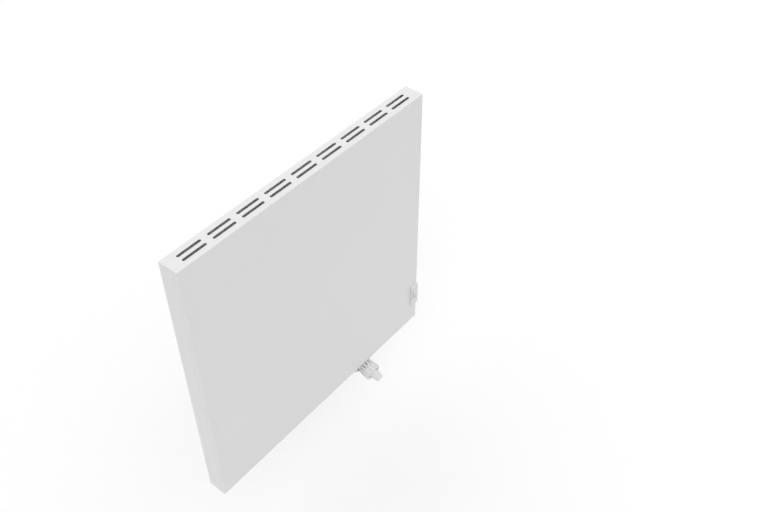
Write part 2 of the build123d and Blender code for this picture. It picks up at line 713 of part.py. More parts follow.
def hook_pads():
    """Sound-damping saddles between the hooks and the lugs."""
    half = RAIL_WIDTH / 2
    lug_front = LUG_BACK_DEPTH - LUG_SHEET
    lip_back = lug_front - PAD_GAP
    pads = []
    for side in (-1, 1):
        x = side * RAIL_X
        for edge_z in (LUG_EDGE_Z, LOWER_LUG_EDGE_Z):
            bottom = edge_z - PAD_SHEET
            seat = slab(
                x - half, x + half, lip_back - PAD_SHEET, CASE_DEPTH - PAD_BACK_GAP, bottom, edge_z
            )
            lip = slab(
                x - half, x + half, lip_back - PAD_SHEET, lip_back, bottom, edge_z + HOOK_RISE / 2
            )
            pads.append(seat + lip)
    return Compound(children=pads)


def lock_slide(x):
    """Slide that keeps the upper lug on its hook until it is pulled up."""
    half = RAIL_WIDTH / 2 - RAIL_SHEET - LOCK_GAP
    z0 = lock_bottom_z()
    y_front = -RAIL_DEPTH + LOCK_GAP
    y_back = -RAIL_SHEET - LOCK_GAP
    slide = block(x - half, x + half, y_front, y_back, z0, z0 + LOCK_HEIGHT)
    finger_front = at_depth(LUG_BACK_DEPTH - LUG_SHEET)
    slide += block(x - half, x + half, finger_front, y_back, z0, z0 + LOCK_FINGER)
    pull_y = lock_mid_y()
    slide += block(
        x - half / 2,
        x + half / 2,
        pull_y - LOCK_PULL_SHEET / 2,
        pull_y + LOCK_PULL_SHEET / 2,
        z0 + LOCK_HEIGHT,
        RAIL_TOP + LOCK_PULL_RISE,
    )
    peg_z = z0 + PEG_Z_ABOVE_LOCK
    half_rail = RAIL_WIDTH / 2
    return slide + rod((x - half_rail, pull_y, peg_z), (1, 0, 0), PEG_R, RAIL_WIDTH)


# ---- air vent ----


def vent_place():
    """X and Y of the vent, under one of the front row's slots."""
    depth = MID_DEPTH - SLOT_ROW_GAP / 2
    return slot_x(VENT_SLOT), at_depth(max(depth, CROWN_BACK_DEPTH + VENT_BOSS_R))


def vent_boss():
    """Upright boss welded on the back of the top header."""
    x, y = vent_place()
    boss = rod((x, y, PANEL_TOP), (0, 0, -1), VENT_BOSS_R, VENT_BOSS_LENGTH)
    return boss - rod((x, y, PANEL_TOP), (0, 0, -1), VENT_NECK_R + PIPE_GAP, VENT_NECK_HEIGHT + PIPE_GAP)


def vent_plug():
    """Brass plug with a hexagon, seated on the boss."""
    x, y = vent_place()
    plug = hexagon_prism((x, y, PANEL_TOP), (0, 0, 1), VENT_HEX, VENT_HEX_HEIGHT)
    plug += rod((x, y, PANEL_TOP), (0, 0, -1), VENT_NECK_R, VENT_NECK_HEIGHT)
    bottom = PANEL_TOP - VENT_NECK_HEIGHT
    length = VENT_NECK_HEIGHT + VENT_HEX_HEIGHT
    return plug - rod((x, y, bottom), (0, 0, 1), VENT_BORE_R + RUNNING_GAP, length)


def vent_screw():
    """Bleed screw with a square head that the vent key turns."""
    x, y = vent_place()
    top = PANEL_TOP + VENT_HEX_HEIGHT
    half = VENT_SCREW_SQUARE / 2
    head = block(x - half, x + half, y - half, y + half, top + 2 * PIPE_GAP, top + VENT_SCREW_HEAD)
    shank = VENT_SCREW_LENGTH - VENT_SCREW_HEAD
    return head + rod((x, y, top + 2 * PIPE_GAP), (0, 0, -1), VENT_BORE_R, shank)


# ---- built-in valve ----


def valve_point(x):
    """Point on the setting wheel's axis."""
    return (x, at_depth(VALVE_DEPTH), VALVE_Z)


def valve_body():
    """Brass through body: flow from below, riser above, insert from the right."""
    y = at_depth(VALVE_DEPTH)
    low = (VALVE_X, y, VALVE_Z - VALVE_BODY_HALF)
    high = (VALVE_X, y, VALVE_Z + VALVE_BODY_HALF)
    body = rod(low, (0, 0, 1), VALVE_BODY_R, 2 * VALVE_BODY_HALF)
    body += rod(valve_point(VALVE_X), (1, 0, 0), VALVE_BOSS_R, VALVE_BOSS_END_X - VALVE_X)
    body -= rod(low, (0, 0, 1), PIPE_R + PIPE_GAP, PIPE_SOCKET)
    body -= rod(high, (0, 0, -1), PIPE_R + PIPE_GAP, PIPE_SOCKET)
    body -= rod(low, (0, 0, 1), PIPE_R - PIPE_WALL, 2 * VALVE_BODY_HALF)
    body -= rod(valve_point(VALVE_X), (1, 0, 0), INSERT_R + PIPE_GAP, VALVE_BOSS_END_X)
    return body


def valve_insert():
    """Brass cartridge in the valve body, bored for the push pin."""
    insert = rod(valve_point(PUSH_PIN_END_X), (1, 0, 0), INSERT_R, HEAD_BASE_X - PUSH_PIN_END_X)
    hexagon_length = HEAD_BASE_X - VALVE_BOSS_END_X
    insert += hexagon_prism(valve_point(VALVE_BOSS_END_X), (1, 0, 0), INSERT_HEX, hexagon_length)
    return insert - rod(valve_point(PUSH_PIN_END_X - CUT_PAST), (1, 0, 0), INSERT_BORE_R, HEAD_BASE_X)


def head_base():
    """Fixed bush of the thermostat: a flange on the insert and a hollow stub for the wheel."""
    base = rod(valve_point(HEAD_BASE_X), (1, 0, 0), HEAD_BASE_R, HEAD_BASE_END_X - HEAD_BASE_X)
    base += rod(valve_point(HEAD_BASE_END_X), (1, 0, 0), STUB_R, STUB_END_X - HEAD_BASE_END_X)
    base -= rod(valve_point(HEAD_BASE_X - CUT_PAST), (1, 0, 0), INSERT_BORE_R, STUB_END_X)
    floor_point = valve_point(HEAD_BASE_END_X - CHAMBER_SINK)
    chamber = rod(floor_point, (1, 0, 0), CAPSULE_R + RUNNING_GAP, STUB_END_X)
    return base - chamber


def sensor_capsule():
    """Liquid-filled capsule with the pin that it pushes into the valve."""
    capsule = rod(valve_point(CAPSULE_START_X), (1, 0, 0), CAPSULE_R, CAPSULE_LENGTH)
    pin_length = CAPSULE_START_X - PUSH_PIN_END_X - SHEET
    return capsule + rod(valve_point(CAPSULE_START_X), (-1, 0, 0), PUSH_PIN_R, pin_length)


def setting_wheel():
    """Thumb wheel: ribbed rims beside a plain number band, a web and a hub."""
    width = WHEEL_WIDTH
    plain = width - 2 * WHEEL_RIB_BAND
    start = valve_point(WHEEL_LEFT_X)
    wheel = rod(start, (1, 0, 0), WHEEL_R, width)
    band = rod(valve_point(WHEEL_LEFT_X + WHEEL_RIB_BAND), (1, 0, 0), WHEEL_R + CUT_PAST, plain)
    band -= rod(start, (1, 0, 0), WHEEL_R - WHEEL_BAND_DROP, width)
    wheel -= band
    pocket = rod(valve_point(WHEEL_LEFT_X + WHEEL_WEB), (1, 0, 0), WHEEL_R - WHEEL_RIM, width)
    pocket -= rod(start, (1, 0, 0), WHEEL_HUB_R, width)
    wheel -= pocket
    wheel -= rod(valve_point(WHEEL_LEFT_X - CUT_PAST), (1, 0, 0), STUB_R + RUNNING_GAP, width + 2 * CUT_PAST)
    flutes = []
    reach = WHEEL_R + WHEEL_FLUTE_R / 2
    for k in range(WHEEL_FLUTES):
        angle = radians(360 / WHEEL_FLUTES * (k + 0.5))
        y = at_depth(VALVE_DEPTH) + reach * cos(angle)
        z = VALVE_Z + reach * sin(angle)
        flutes.append(rod((WHEEL_LEFT_X - CUT_PAST, y, z), (1, 0, 0), WHEEL_FLUTE_R, width + 2 * CUT_PAST))
    return wheel - flutes


def wheel_retainer():
    """Washer that keeps the wheel on its stub."""
    ring = rod(valve_point(STUB_END_X), (1, 0, 0), RETAINER_R, RETAINER_SHEET)
    return ring - rod(valve_point(STUB_END_X - CUT_PAST), (1, 0, 0), CAPSULE_R, RETAINER_SHEET + 2 * CUT_PAST)


def plate_screw_places():
    """Start points of the two plate screws, on the back of the front sheet."""
    x = (PLATE_LEFT_X + HALF_WIDTH) / 2
    y = at_depth(SHEET)
    low = PLATE_BOTTOM_Z + PLATE_SCREW_INSET
    high = PLATE_TOP_Z - PLATE_SCREW_INSET
    return [(x, y, low), (x, y, high)]


def control_plate():
    """Moulded cover over the setting wheel, with a window that the rim stands out of."""
    plate = slab(PLATE_LEFT_X, HALF_WIDTH, -PLATE_PROUD, 0, PLATE_BOTTOM_Z, PLATE_TOP_Z)
    plate = fillet(plate.faces().sort_by(Axis.Y)[0].edges(), PLATE_CORNER)
    plate -= slab(
        PLATE_LEFT_X + PLATE_WALL,
        HALF_WIDTH - PLATE_WALL,
        PLATE_WALL - PLATE_PROUD,
        CUT_PAST,
        PLATE_BOTTOM_Z + PLATE_WALL,
        PLATE_TOP_Z - PLATE_WALL,
    )
    inner_face = VALVE_DEPTH + PLATE_PROUD - PLATE_WALL
    half_window = sqrt(WHEEL_R**2 - inner_face**2) + WHEEL_SIDE_GAP
    plate -= slab(
        WHEEL_LEFT_X - WHEEL_SIDE_GAP,
        WHEEL_RIGHT_X + WHEEL_SIDE_GAP,
        -PLATE_PROUD - CUT_PAST,
        PLATE_WALL,
        VALVE_Z - half_window,
        VALVE_Z + half_window,
    )
    for x, _, z in plate_screw_places():
        boss = rod((x, at_depth(0), z), (0, -1, 0), PLATE_BOSS_R, PLATE_PROUD - PLATE_WALL)
        plate += boss
        plate -= rod((x, at_depth(0), z), (0, -1, 0), SCREW_R + SCREW_GAP / 2, PLATE_PROUD - PLATE_WALL)
    return plate


def control_plate_screws():
    """Two screws from inside the casing into the plate's bosses."""
    reach = SHEET + PLATE_PROUD - PLATE_WALL - SLIDE_GAP
    screws = []
    for place in plate_screw_places():
        head = rod(place, (0, 1, 0), SCREW_HEAD_R, SCREW_HEAD)
        screws.append(head + rod(place, (0, -1, 0), SCREW_R, reach))
    return Compound(children=screws)


# ---- pipes inside the casing ----


def flow_x():
    """X of the right-hand, flow connection."""
    return BLOCK_X + WAY_SPACING / 2


def return_x():
    """X of the left-hand, return connection."""
    return BLOCK_X - WAY_SPACING / 2


def union_collar(x):
    """Flat collar that the union nut pulls onto the gasket."""
    bottom = SPIGOT_TOP_Z + GASKET
    return rod((x, at_depth(MID_DEPTH), bottom), (0, 0, 1), COLLAR_R, COLLAR)


def return_pipe():
    """Elbow from the bottom header back and down to the return union."""
    z = PANEL_BOTTOM + HEADER_INSET
    end_z = SPIGOT_TOP_Z + GASKET
    points = [
        (return_x(), at_depth(CROWN_BACK_DEPTH), z),
        (return_x(), at_depth(MID_DEPTH), z),
        (return_x(), at_depth(MID_DEPTH), end_z),
    ]
    bend = MID_DEPTH - CROWN_BACK_DEPTH - RETURN_STRAIGHT
    path = FilletPolyline(*points, radius=bend)
    pipe = tube_along(path, RETURN_PIPE_R, PIPE_WALL)
    collar = union_collar(return_x())
    return pipe + (collar - rod(points[2], (0, 0, 1), RETURN_PIPE_R - PIPE_WALL, COLLAR))


def flow_pipe():
    """Pipe from the flow union along the bottom and up into the valve."""
    y_block = at_depth(MID_DEPTH)
    y_valve = at_depth(VALVE_DEPTH)
    start_z = SPIGOT_TOP_Z + GASKET
    end_z = VALVE_Z - VALVE_BODY_HALF + PIPE_SOCKET - PIPE_GAP
    points = [
        (flow_x(), y_block, start_z),
        (flow_x(), y_block, FLOW_RUN_Z),
        (VALVE_X, y_valve, FLOW_RUN_Z),
        (VALVE_X, y_valve, end_z),
    ]
    path = FilletPolyline(*points, radius=FLOW_BEND)
    pipe = tube_along(path, PIPE_R, PIPE_WALL)
    collar = union_collar(flow_x())
    return pipe + (collar - rod(points[0], (0, 0, 1), PIPE_R - PIPE_WALL, COLLAR))


def riser_pipe():
    """Pipe from the valve up the right-hand side into the top header's boss."""
    y = at_depth(VALVE_DEPTH)
    start_z = VALVE_Z + VALVE_BODY_HALF - PIPE_SOCKET + PIPE_GAP
    end_x = PANEL_RIGHT + RISER_BOSS_PROUD - PIPE_SOCKET + PIPE_GAP
    points = [
        (VALVE_X, y, start_z),
        (VALVE_X, y, riser_top_z()),
        (end_x, y, riser_top_z()),
    ]
    return tube_along(FilletPolyline(*points, radius=RISER_BEND), PIPE_R, PIPE_WALL)


# ---- bottom connection block ----


def union_nut(x):
    """Hexagon nut over the collar and the block's spigot."""
    y = at_depth(MID_DEPTH)
    height = NUT_HEIGHT
    nut = hexagon_nut((x, y, BLOCK_TOP_Z), (0, 0, 1), NUT_HEX, height)
    collar_top = SPIGOT_TOP_Z + GASKET + COLLAR
    nut -= rod((x, y, BLOCK_TOP_Z), (0, 0, 1), SPIGOT_R + THREAD_GAP, collar_top - BLOCK_TOP_Z)
    return nut - rod((x, y, BLOCK_TOP_Z), (0, 0, 1), RETURN_PIPE_R + THREAD_GAP, height)


def union_gaskets():
    """Flat ring gaskets of the two unions."""
    y = at_depth(MID_DEPTH)
    rings = []
    for x in (return_x(), flow_x()):
        ring = rod((x, y, SPIGOT_TOP_Z), (0, 0, 1), COLLAR_R, GASKET)
        rings.append(ring - rod((x, y, SPIGOT_TOP_Z), (0, 0, 1), WAY_BORE_R, GASKET))
    return Compound(children=rings)


def station(distance):
    """Point on the shut-off wheel's sloping axis."""
    return (
        BLOCK_X,
        at_depth(MID_DEPTH) + distance * HEAD_AXIS[1],
        HEAD_START_Z + distance * HEAD_AXIS[2],
    )


def head_rod(start, end, radius):
    """Cylinder on the sloping axis between two stations."""
    return rod(station(start), HEAD_AXIS, radius, end - start)


def across_head(distance):
    """Plane square to the sloping axis at a station, with its X along the casing."""
    return Plane(origin=station(distance), x_dir=(1, 0, 0), z_dir=HEAD_AXIS)


def connection_block():
    """H-shaped block: two upright ways, a bridge and the seat of the shut-off plug."""
    y = at_depth(MID_DEPTH)
    body = rod((return_x(), y, HEAD_START_Z), (1, 0, 0), BRIDGE_R, WAY_SPACING)
    body += head_rod(PLUG_START - SHEET, HEAD_BOSS_END, HEAD_BOSS_R)
    for x in (return_x(), flow_x()):
        way = rod((x, y, BLOCK_BOTTOM_Z), (0, 0, 1), WAY_R, BLOCK_HEIGHT)
        body += chamfer(way.edges().filter_by(GeomType.CIRCLE), WAY_CHAMFER)
        body += rod((x, y, BLOCK_TOP_Z), (0, 0, 1), SPIGOT_R, SPIGOT_HEIGHT)
    for x in (return_x(), flow_x()):
        body -= rod((x, y, BLOCK_BOTTOM_Z), (0, 0, 1), WAY_BORE_R, BLOCK_HEIGHT + SPIGOT_HEIGHT)
        body -= rod((x, y, BLOCK_BOTTOM_Z), (0, 0, 1), OUTLET_R, OUTLET_DEPTH)
    duct = rod((return_x(), y, HEAD_START_Z), (1, 0, 0), PLUG_PORT_R, WAY_SPACING)
    body -= duct
    return body - head_rod(PLUG_START, HEAD_BOSS_END, PLUG_R + RUNNING_GAP)


def shutoff_plug():
    """Turning plug with a cross port, seal grooves and a square drive for the wheel."""
    plug = head_rod(PLUG_START + RUNNING_GAP, PLUG_END - DRIVE_LENGTH, PLUG_R)
    drive = across_head(PLUG_END - DRIVE_LENGTH)
    plug += extrude(drive * Rectangle(DRIVE_SQUARE, DRIVE_SQUARE), DRIVE_LENGTH)
    port_start = (return_x(), at_depth(MID_DEPTH), HEAD_START_Z)
    plug -= rod(port_start, (1, 0, 0), PLUG_PORT_R, WAY_SPACING)
    for place in SEAL_STATIONS:
        groove = head_rod(place - SEAL_SECTION_R, place + SEAL_SECTION_R, PLUG_R + CUT_PAST)
        plug -= groove - head_rod(place - SEAL_SECTION_R, place + SEAL_SECTION_R, PLUG_R - 2 * SEAL_SECTION_R)
    screw_tip = HUB_SEAT - HUB_SCREW_LENGTH
    return plug - head_rod(screw_tip - PIPE_GAP, PLUG_END, HUB_SCREW_R + RUNNING_GAP)


def plug_seals():
    """Two ring seals in the plug's grooves."""
    rings = []
    for place in SEAL_STATIONS:
        rings.append(across_head(place) * Torus(PLUG_R - SEAL_SECTION_R, SEAL_SECTION_R))
    return Compound(children=rings)


def gland_nut():
    """Ring nut that keeps the plug in the block."""
    across_flats = 2 * GLAND_R * cos(radians(30))
    nut = hexagon_nut(station(HEAD_BOSS_END), HEAD_AXIS, across_flats, GLAND_END - HEAD_BOSS_END)
    return nut - head_rod(HEAD_BOSS_END, GLAND_END, PLUG_R + RUNNING_GAP)


def slotted_shroud():
    """Fixed sleeve between block and wheel, with long slots all round."""
    shroud = head_rod(SHROUD_START, SHROUD_END, SHROUD_R)
    rim = shroud.edges().filter_by(GeomType.CIRCLE).sort_by(Axis(station(0), HEAD_AXIS))[-1]
    shroud = fillet(rim, SHROUD_RIM)
    shroud -= head_rod(SHROUD_START + SHROUD_FLOOR, SHROUD_END, SHROUD_R - SHROUD_WALL)
    hexagon_hole = hexagon_prism(
        station(SHROUD_START - CUT_PAST),
        HEAD_AXIS,
        2 * GLAND_R * cos(radians(30)) + 2 * PIPE_GAP,
        SHROUD_FLOOR + 2 * CUT_PAST,
    )
    shroud -= hexagon_hole
    slot_length = SHROUD_END - SHROUD_SLOT_MARGIN - SHROUD_START + CUT_PAST
    middle = SHROUD_START - CUT_PAST + slot_length / 2
    base = across_head(middle)
    cuts = []
    for k in range(SHROUD_SLOTS):
        turn = Rot(0, 0, 360 / SHROUD_SLOTS * k)
        cuts.append(base * turn * Pos(SHROUD_R, 0, 0) * Box(4 * SHROUD_WALL, SHROUD_SLOT_WIDTH, slot_length))
    return shroud - cuts


def handwheel():
    """Grip ring with shallow finger scallops, driven by the plug's square."""
    base = across_head(HANDWHEEL_START)
    middle = across_head((HANDWHEEL_START + HANDWHEEL_END) / 2)
    axis = Axis(station(0), HEAD_AXIS)
    wheel = head_rod(HANDWHEEL_START, HANDWHEEL_END, HANDWHEEL_R)
    wheel = fillet(wheel.edges().filter_by(GeomType.CIRCLE).sort_by(axis)[-1], HANDWHEEL_EDGE)
    wheel = fillet(wheel.edges().filter_by(GeomType.CIRCLE).sort_by(axis)[0], HANDWHEEL_BACK_EDGE)
    reach = HANDWHEEL_R + LOBE_CUT_R - LOBE_CUT_DEPTH
    scallop = Cylinder(LOBE_CUT_R, HANDWHEEL_END - HANDWHEEL_START + 2 * CUT_PAST)
    places = PolarLocations(reach, HANDWHEEL_LOBES, start_angle=HANDWHEEL_TURN)
    wheel -= [middle * place * scallop for place in places]
    recess = head_rod(HANDWHEEL_END - NOSE_SPIGOT_LENGTH, HANDWHEEL_END, NOSE_SPIGOT_R + SLIDE_GAP)
    wheel -= recess
    wheel -= head_rod(HANDWHEEL_START, PLUG_END - DRIVE_LENGTH + PIPE_GAP, PLUG_R + PIPE_GAP)
    side = DRIVE_SQUARE + 2 * PIPE_GAP
    wheel -= extrude(base * Rectangle(side, side), PLUG_END - HANDWHEEL_START)
    wheel -= head_rod(PLUG_END, HANDWHEEL_END, HUB_SCREW_R + PIPE_GAP)
    return wheel - head_rod(HUB_SEAT, HANDWHEEL_END, HUB_SCREW_HEAD_R + PIPE_GAP)


def hub_screw():
    """Screw that holds the grip ring on the plug."""
    screw = head_rod(HUB_SEAT, HUB_SEAT + HUB_SCREW_HEAD, HUB_SCREW_HEAD_R)
    screw += head_rod(HUB_SEAT - HUB_SCREW_LENGTH, HUB_SEAT, HUB_SCREW_R)
    slot = across_head(HUB_SEAT + HUB_SCREW_HEAD)
    return screw - slot * Box(3 * HUB_SCREW_HEAD_R, HUB_SCREW_SLOT, 2 * HUB_SCREW_SLOT_DEPTH)


def nose_cap():
    """Hollow cap pushed into the grip ring, over the screw."""
    length = NOSE_END - HANDWHEEL_END
    cone = Cone(NOSE_BASE_R, NOSE_TIP_R, length, align=(Align.CENTER, Align.CENTER, Align.MIN))
    tip_edge = cone.edges().filter_by(GeomType.CIRCLE).sort_by(Axis.Z)[-1]
    nose = across_head(HANDWHEEL_END) * fillet(tip_edge, NOSE_EDGE)
    nose += head_rod(HANDWHEEL_END - NOSE_SPIGOT_LENGTH + PIPE_GAP, HANDWHEEL_END, NOSE_SPIGOT_R)
    inner = NOSE_SPIGOT_R - NOSE_WALL
    return nose - head_rod(HANDWHEEL_END - NOSE_SPIGOT_LENGTH, NOSE_END - NOSE_WALL, inner)


def build():
    """Make every node and write it."""
    os.makedirs("parts", exist_ok=True)
    left_cover = end_cover()
    save(front_panel(), "front_panel")
    save(left_cover, "left_end_cover")
    save(mirrored(left_cover), "right_end_cover")
    save(top_grille(), "top_grille")
    save(rear_panel(), "rear_panel")
    save(casing_screws(), "casing_screws")
    save(bottom_braces(), "bottom_braces")
    save(grille_supports(), "grille_supports")
    save(front_water_shell(), "front_water_shell")
    save(rear_water_shell(), "rear_water_shell")
    save(riser_boss(), "riser_boss")
    save(fins(FIRST_CHANNEL, -RAIL_CHANNEL - 1), "left_convector_fins")
    save(fins(1 - RAIL_CHANNEL, RAIL_CHANNEL - 1), "middle_convector_fins")
    save(fins(RAIL_CHANNEL + 1, LAST_CHANNEL), "right_convector_fins")
    for side, x in (("left", -RAIL_X), ("right", RAIL_X)):
        save(hanging_lug(x, LUG_EDGE_Z), f"upper_{side}_lug")
        save(hanging_lug(x, LOWER_LUG_EDGE_Z), f"lower_{side}_lug")
        save(wall_rail(x), f"{side}_wall_rail")
        save(lock_slide(x), f"{side}_lock_slide")
    save(hook_pads(), "hook_pads")
    save(vent_boss(), "vent_boss")
    save(vent_plug(), "vent_plug")
    save(vent_screw(), "vent_screw")
    save(valve_body(), "valve_body")
    save(valve_insert(), "valve_insert")
    save(head_base(), "thermostat_base")
    save(sensor_capsule(), "sensor_capsule")
    save(setting_wheel(), "setting_wheel")
    save(wheel_retainer(), "wheel_retainer")
    save(control_plate(), "control_plate")
    save(control_plate_screws(), "control_plate_screws")
    save(return_pipe(), "return_pipe")
    save(flow_pipe(), "flow_pipe")
    save(riser_pipe(), "riser_pipe")
    save(union_nut(return_x()), "return_union_nut")
    save(union_nut(flow_x()), "flow_union_nut")
    save(union_gaskets(), "union_gaskets")
    save(connection_block(), "connection_block")
    save(shutoff_plug(), "shutoff_plug")
    save(plug_seals(), "plug_seals")
    save(gland_nut(), "gland_nut")
    save(slotted_shroud(), "slotted_shroud")
    save(handwheel(), "handwheel")
    save(hub_screw(), "hub_screw")
    save(nose_cap(), "nose_cap")


if __name__ == "__main__":
    build()
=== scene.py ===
"""Looks of a wall-hung hot-water panel convector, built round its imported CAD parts.

Metres, in the CAD frame: X to the right as seen from the room, Y into the wall, Z up.
"""

import json
from math import atan2, cos, pi, radians, sin, tau

import bmesh
import bpy
from bpy.props import FloatProperty, FloatVectorProperty, IntProperty, PointerProperty
from mathutils import Matrix, Vector


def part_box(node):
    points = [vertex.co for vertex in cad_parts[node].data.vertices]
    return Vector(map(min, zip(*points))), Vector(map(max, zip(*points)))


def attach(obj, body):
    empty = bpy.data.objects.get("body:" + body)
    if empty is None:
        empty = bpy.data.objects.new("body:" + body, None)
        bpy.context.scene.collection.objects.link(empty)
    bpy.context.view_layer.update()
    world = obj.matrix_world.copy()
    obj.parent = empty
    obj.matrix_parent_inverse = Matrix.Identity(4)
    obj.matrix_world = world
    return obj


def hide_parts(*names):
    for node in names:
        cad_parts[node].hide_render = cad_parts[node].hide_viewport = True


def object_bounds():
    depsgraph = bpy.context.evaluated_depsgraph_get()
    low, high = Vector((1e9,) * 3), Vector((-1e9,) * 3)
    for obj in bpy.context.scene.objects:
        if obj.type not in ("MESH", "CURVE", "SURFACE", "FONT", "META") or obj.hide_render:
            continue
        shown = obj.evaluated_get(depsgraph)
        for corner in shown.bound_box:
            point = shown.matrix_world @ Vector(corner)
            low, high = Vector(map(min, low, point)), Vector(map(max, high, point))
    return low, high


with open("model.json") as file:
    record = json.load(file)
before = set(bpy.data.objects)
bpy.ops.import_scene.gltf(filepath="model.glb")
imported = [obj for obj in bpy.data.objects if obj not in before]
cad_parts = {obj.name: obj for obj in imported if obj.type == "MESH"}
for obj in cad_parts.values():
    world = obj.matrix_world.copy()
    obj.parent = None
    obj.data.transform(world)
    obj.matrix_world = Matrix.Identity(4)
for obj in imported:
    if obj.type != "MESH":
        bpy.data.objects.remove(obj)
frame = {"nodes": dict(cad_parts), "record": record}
CAD_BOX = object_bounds()

bl_info = {
    "name": "Wall panel convector heater",
    "version": (1, 0, 0),
    "blender": (4, 5, 0),
    "location": "3D View > Sidebar > Heater",
    "description": "Finishes and fine details of a wall-hung hot-water panel convector",
    "category": "Add Mesh",
}

MM = 0.001
FIXED = "heater_body"  # the body that holds everything that doesn't move
WHEEL_BODY = "setting_wheel_body"
SHUTOFF_BODY = "shutoff_body"
RANDOM_SEED = 7
MERGE_DISTANCE = 0.001 * MM  # corners closer than this are one corner
SORT_DIGITS = 5  # of a metre, so that rounding noise can't change an order
SHARP_ANGLE = 35.0  # degrees, from which an edge between two faces is drawn sharp


# ---- small helpers ----


def srgb(text):
    """Linear colour, with alpha, of an sRGB hex value such as #E8E8E8."""
    parts = [int(text[i : i + 2], 16) / 255 for i in (1, 3, 5)]
    linear = [c / 12.92 if c <= 0.04045 else ((c + 0.055) / 1.055) ** 2.4 for c in parts]
    return (*linear, 1.0)


def add(tree, kind, inputs=None, **settings):
    """Adds a node, sets its properties, and fills or links its inputs by name or number."""
    node = tree.nodes.new(kind)
    for name, value in settings.items():
        setattr(node, name, value)
    for key, value in (inputs or {}).items():
        socket = node.inputs[key]
        if isinstance(value, bpy.types.NodeSocket):
            tree.links.new(value, socket)
        else:
            socket.default_value = value
    return node


def link_object(name, mesh):
    """New object at the origin with this mesh."""
    piece = bpy.data.objects.new(name, mesh)
    bpy.context.scene.collection.objects.link(piece)
    return piece


def finish_piece(piece, body, slot, *replaced):
    """Puts a finished piece under its body's empty and hides the nodes it stands for; its material slot
    is not used.
    """
    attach(piece, body)
    if replaced:
        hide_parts(*replaced)


def mesh_from_bmesh(work, name, smooth=True):
    """Plain mesh from a bmesh, which is freed."""
    mesh = bpy.data.meshes.new(name)
    work.to_mesh(mesh)
    work.free()
    if smooth:
        mesh.shade_smooth()
    else:
        mesh.shade_flat()
    return mesh


def evaluated_copy(piece, name):
    """Plain mesh of an object with its modifiers applied; an empty one stops the step."""
    bpy.context.view_layer.update()
    depsgraph = bpy.context.evaluated_depsgraph_get()
    mesh = bpy.data.meshes.new_from_object(piece.evaluated_get(depsgraph), depsgraph=depsgraph)
    mesh.name = name
    if not mesh.polygons:
        raise RuntimeError(name + " came out with no faces")
    return mesh


def merged_copy(node):
    """Copy of a CAD node with its loose triangles joined."""
    work = bmesh.new()
    work.from_mesh(frame["nodes"][node].data)
    bmesh.ops.remove_doubles(work, verts=work.verts, dist=MERGE_DISTANCE)
    return work


def islands(work):
    """Lowest and highest corner of each connected piece of a bmesh, which is freed."""
    left = set(work.verts)
    boxes = []
    while left:
        front = [left.pop()]
        found = []
        while front:
            vert = front.pop()
            found.append(vert.co.copy())
            for edge in vert.link_edges:
                other = edge.other_vert(vert)
                if other in left:
                    left.remove(other)
                    front.append(other)
        low = Vector(min(spot[i] for spot in found) for i in range(3))
        high = Vector(max(spot[i] for spot in found) for i in range(3))
        boxes.append((low, high))
    work.free()
    return sorted(boxes, key=lambda box: tuple(round(value, SORT_DIGITS) for value in box[0]))


def lathe(profile, steps):
    """Closed form spun round Z from (radius, height) points that start and end on the axis."""
    work = bmesh.new()
    angles = [tau * k / steps for k in range(steps)]
    rings = []
    for radius, height in profile:
        if radius == 0:
            rings.append([work.verts.new((0, 0, height))])
        else:
            rings.append([work.verts.new((radius * cos(a), radius * sin(a), height)) for a in angles])
    for lower, upper in zip(rings, rings[1:]):
        for k in range(steps):
            following = (k + 1) % steps
            corners = [lower[k % len(lower)], lower[following % len(lower)]]
            corners += [upper[following % len(upper)], upper[k % len(upper)]]
            unique = list(dict.fromkeys(corners))
            if len(unique) > 2:
                work.faces.new(unique)
    bmesh.ops.recalc_face_normals(work, faces=work.faces)
    return work


def geometry_tree(name, sockets):
    """Empty Geometry Nodes tree with a mesh input, named inputs and a mesh output."""
    tree = bpy.data.node_groups.new(name, "GeometryNodeTree")
    tree.interface.new_socket("Geometry", in_out="INPUT", socket_type="NodeSocketGeometry")
    for label, kind in sockets:
        tree.interface.new_socket(label, in_out="INPUT", socket_type=kind)
    tree.interface.new_socket("Geometry", in_out="OUTPUT", socket_type="NodeSocketGeometry")
    return tree, add(tree, "NodeGroupInput").outputs


def close_tree(tree, geometry, material):
    """Ends a tree in Realize Instances and Set Material."""
    real = add(tree, "GeometryNodeRealizeInstances", {"Geometry": geometry})
    painted = add(tree, "GeometryNodeSetMaterial", {"Geometry": real.outputs[0], "Material": material})
    add(tree, "NodeGroupOutput", {"Geometry": painted.outputs[0]})
    return tree


def grow(name, tree, values, points=((0, 0, 0),)):
    """Runs a tree on a mesh of loose points and returns the result as a plain object."""
    seed = bpy.data.meshes.new(name + "_points")
    seed.from_pydata([tuple(p) for p in points], [], [])
    carrier = link_object(name + "_carrier", seed)
    modifier = carrier.modifiers.new("build", "NODES")
    modifier.node_group = tree
    for item in tree.interface.items_tree:
        if item.in_out == "INPUT" and item.name in values:
            modifier[item.identifier] = values[item.name]
    mesh = evaluated_copy(carrier, name)
    bpy.data.objects.remove(carrier)
    bpy.data.meshes.remove(seed)
    return link_object(name, mesh)


# ---- sizes and colours that a user would change ----


def colour(name, description, text):
    """Colour property with an sRGB hex default."""
    return FloatVectorProperty(
        name=name, description=description, subtype="COLOR", size=4, min=0, max=1, default=srgb(text)
    )


def length(name, description, millimetres):
    """Length property with a default in millimetres."""
    return FloatProperty(
        name=name, description=description, subtype="DISTANCE", unit="LENGTH", default=millimetres * MM
    )


def level(name, description, value):
    """Strength of a light."""
    return FloatProperty(name=name, description=description, default=value)


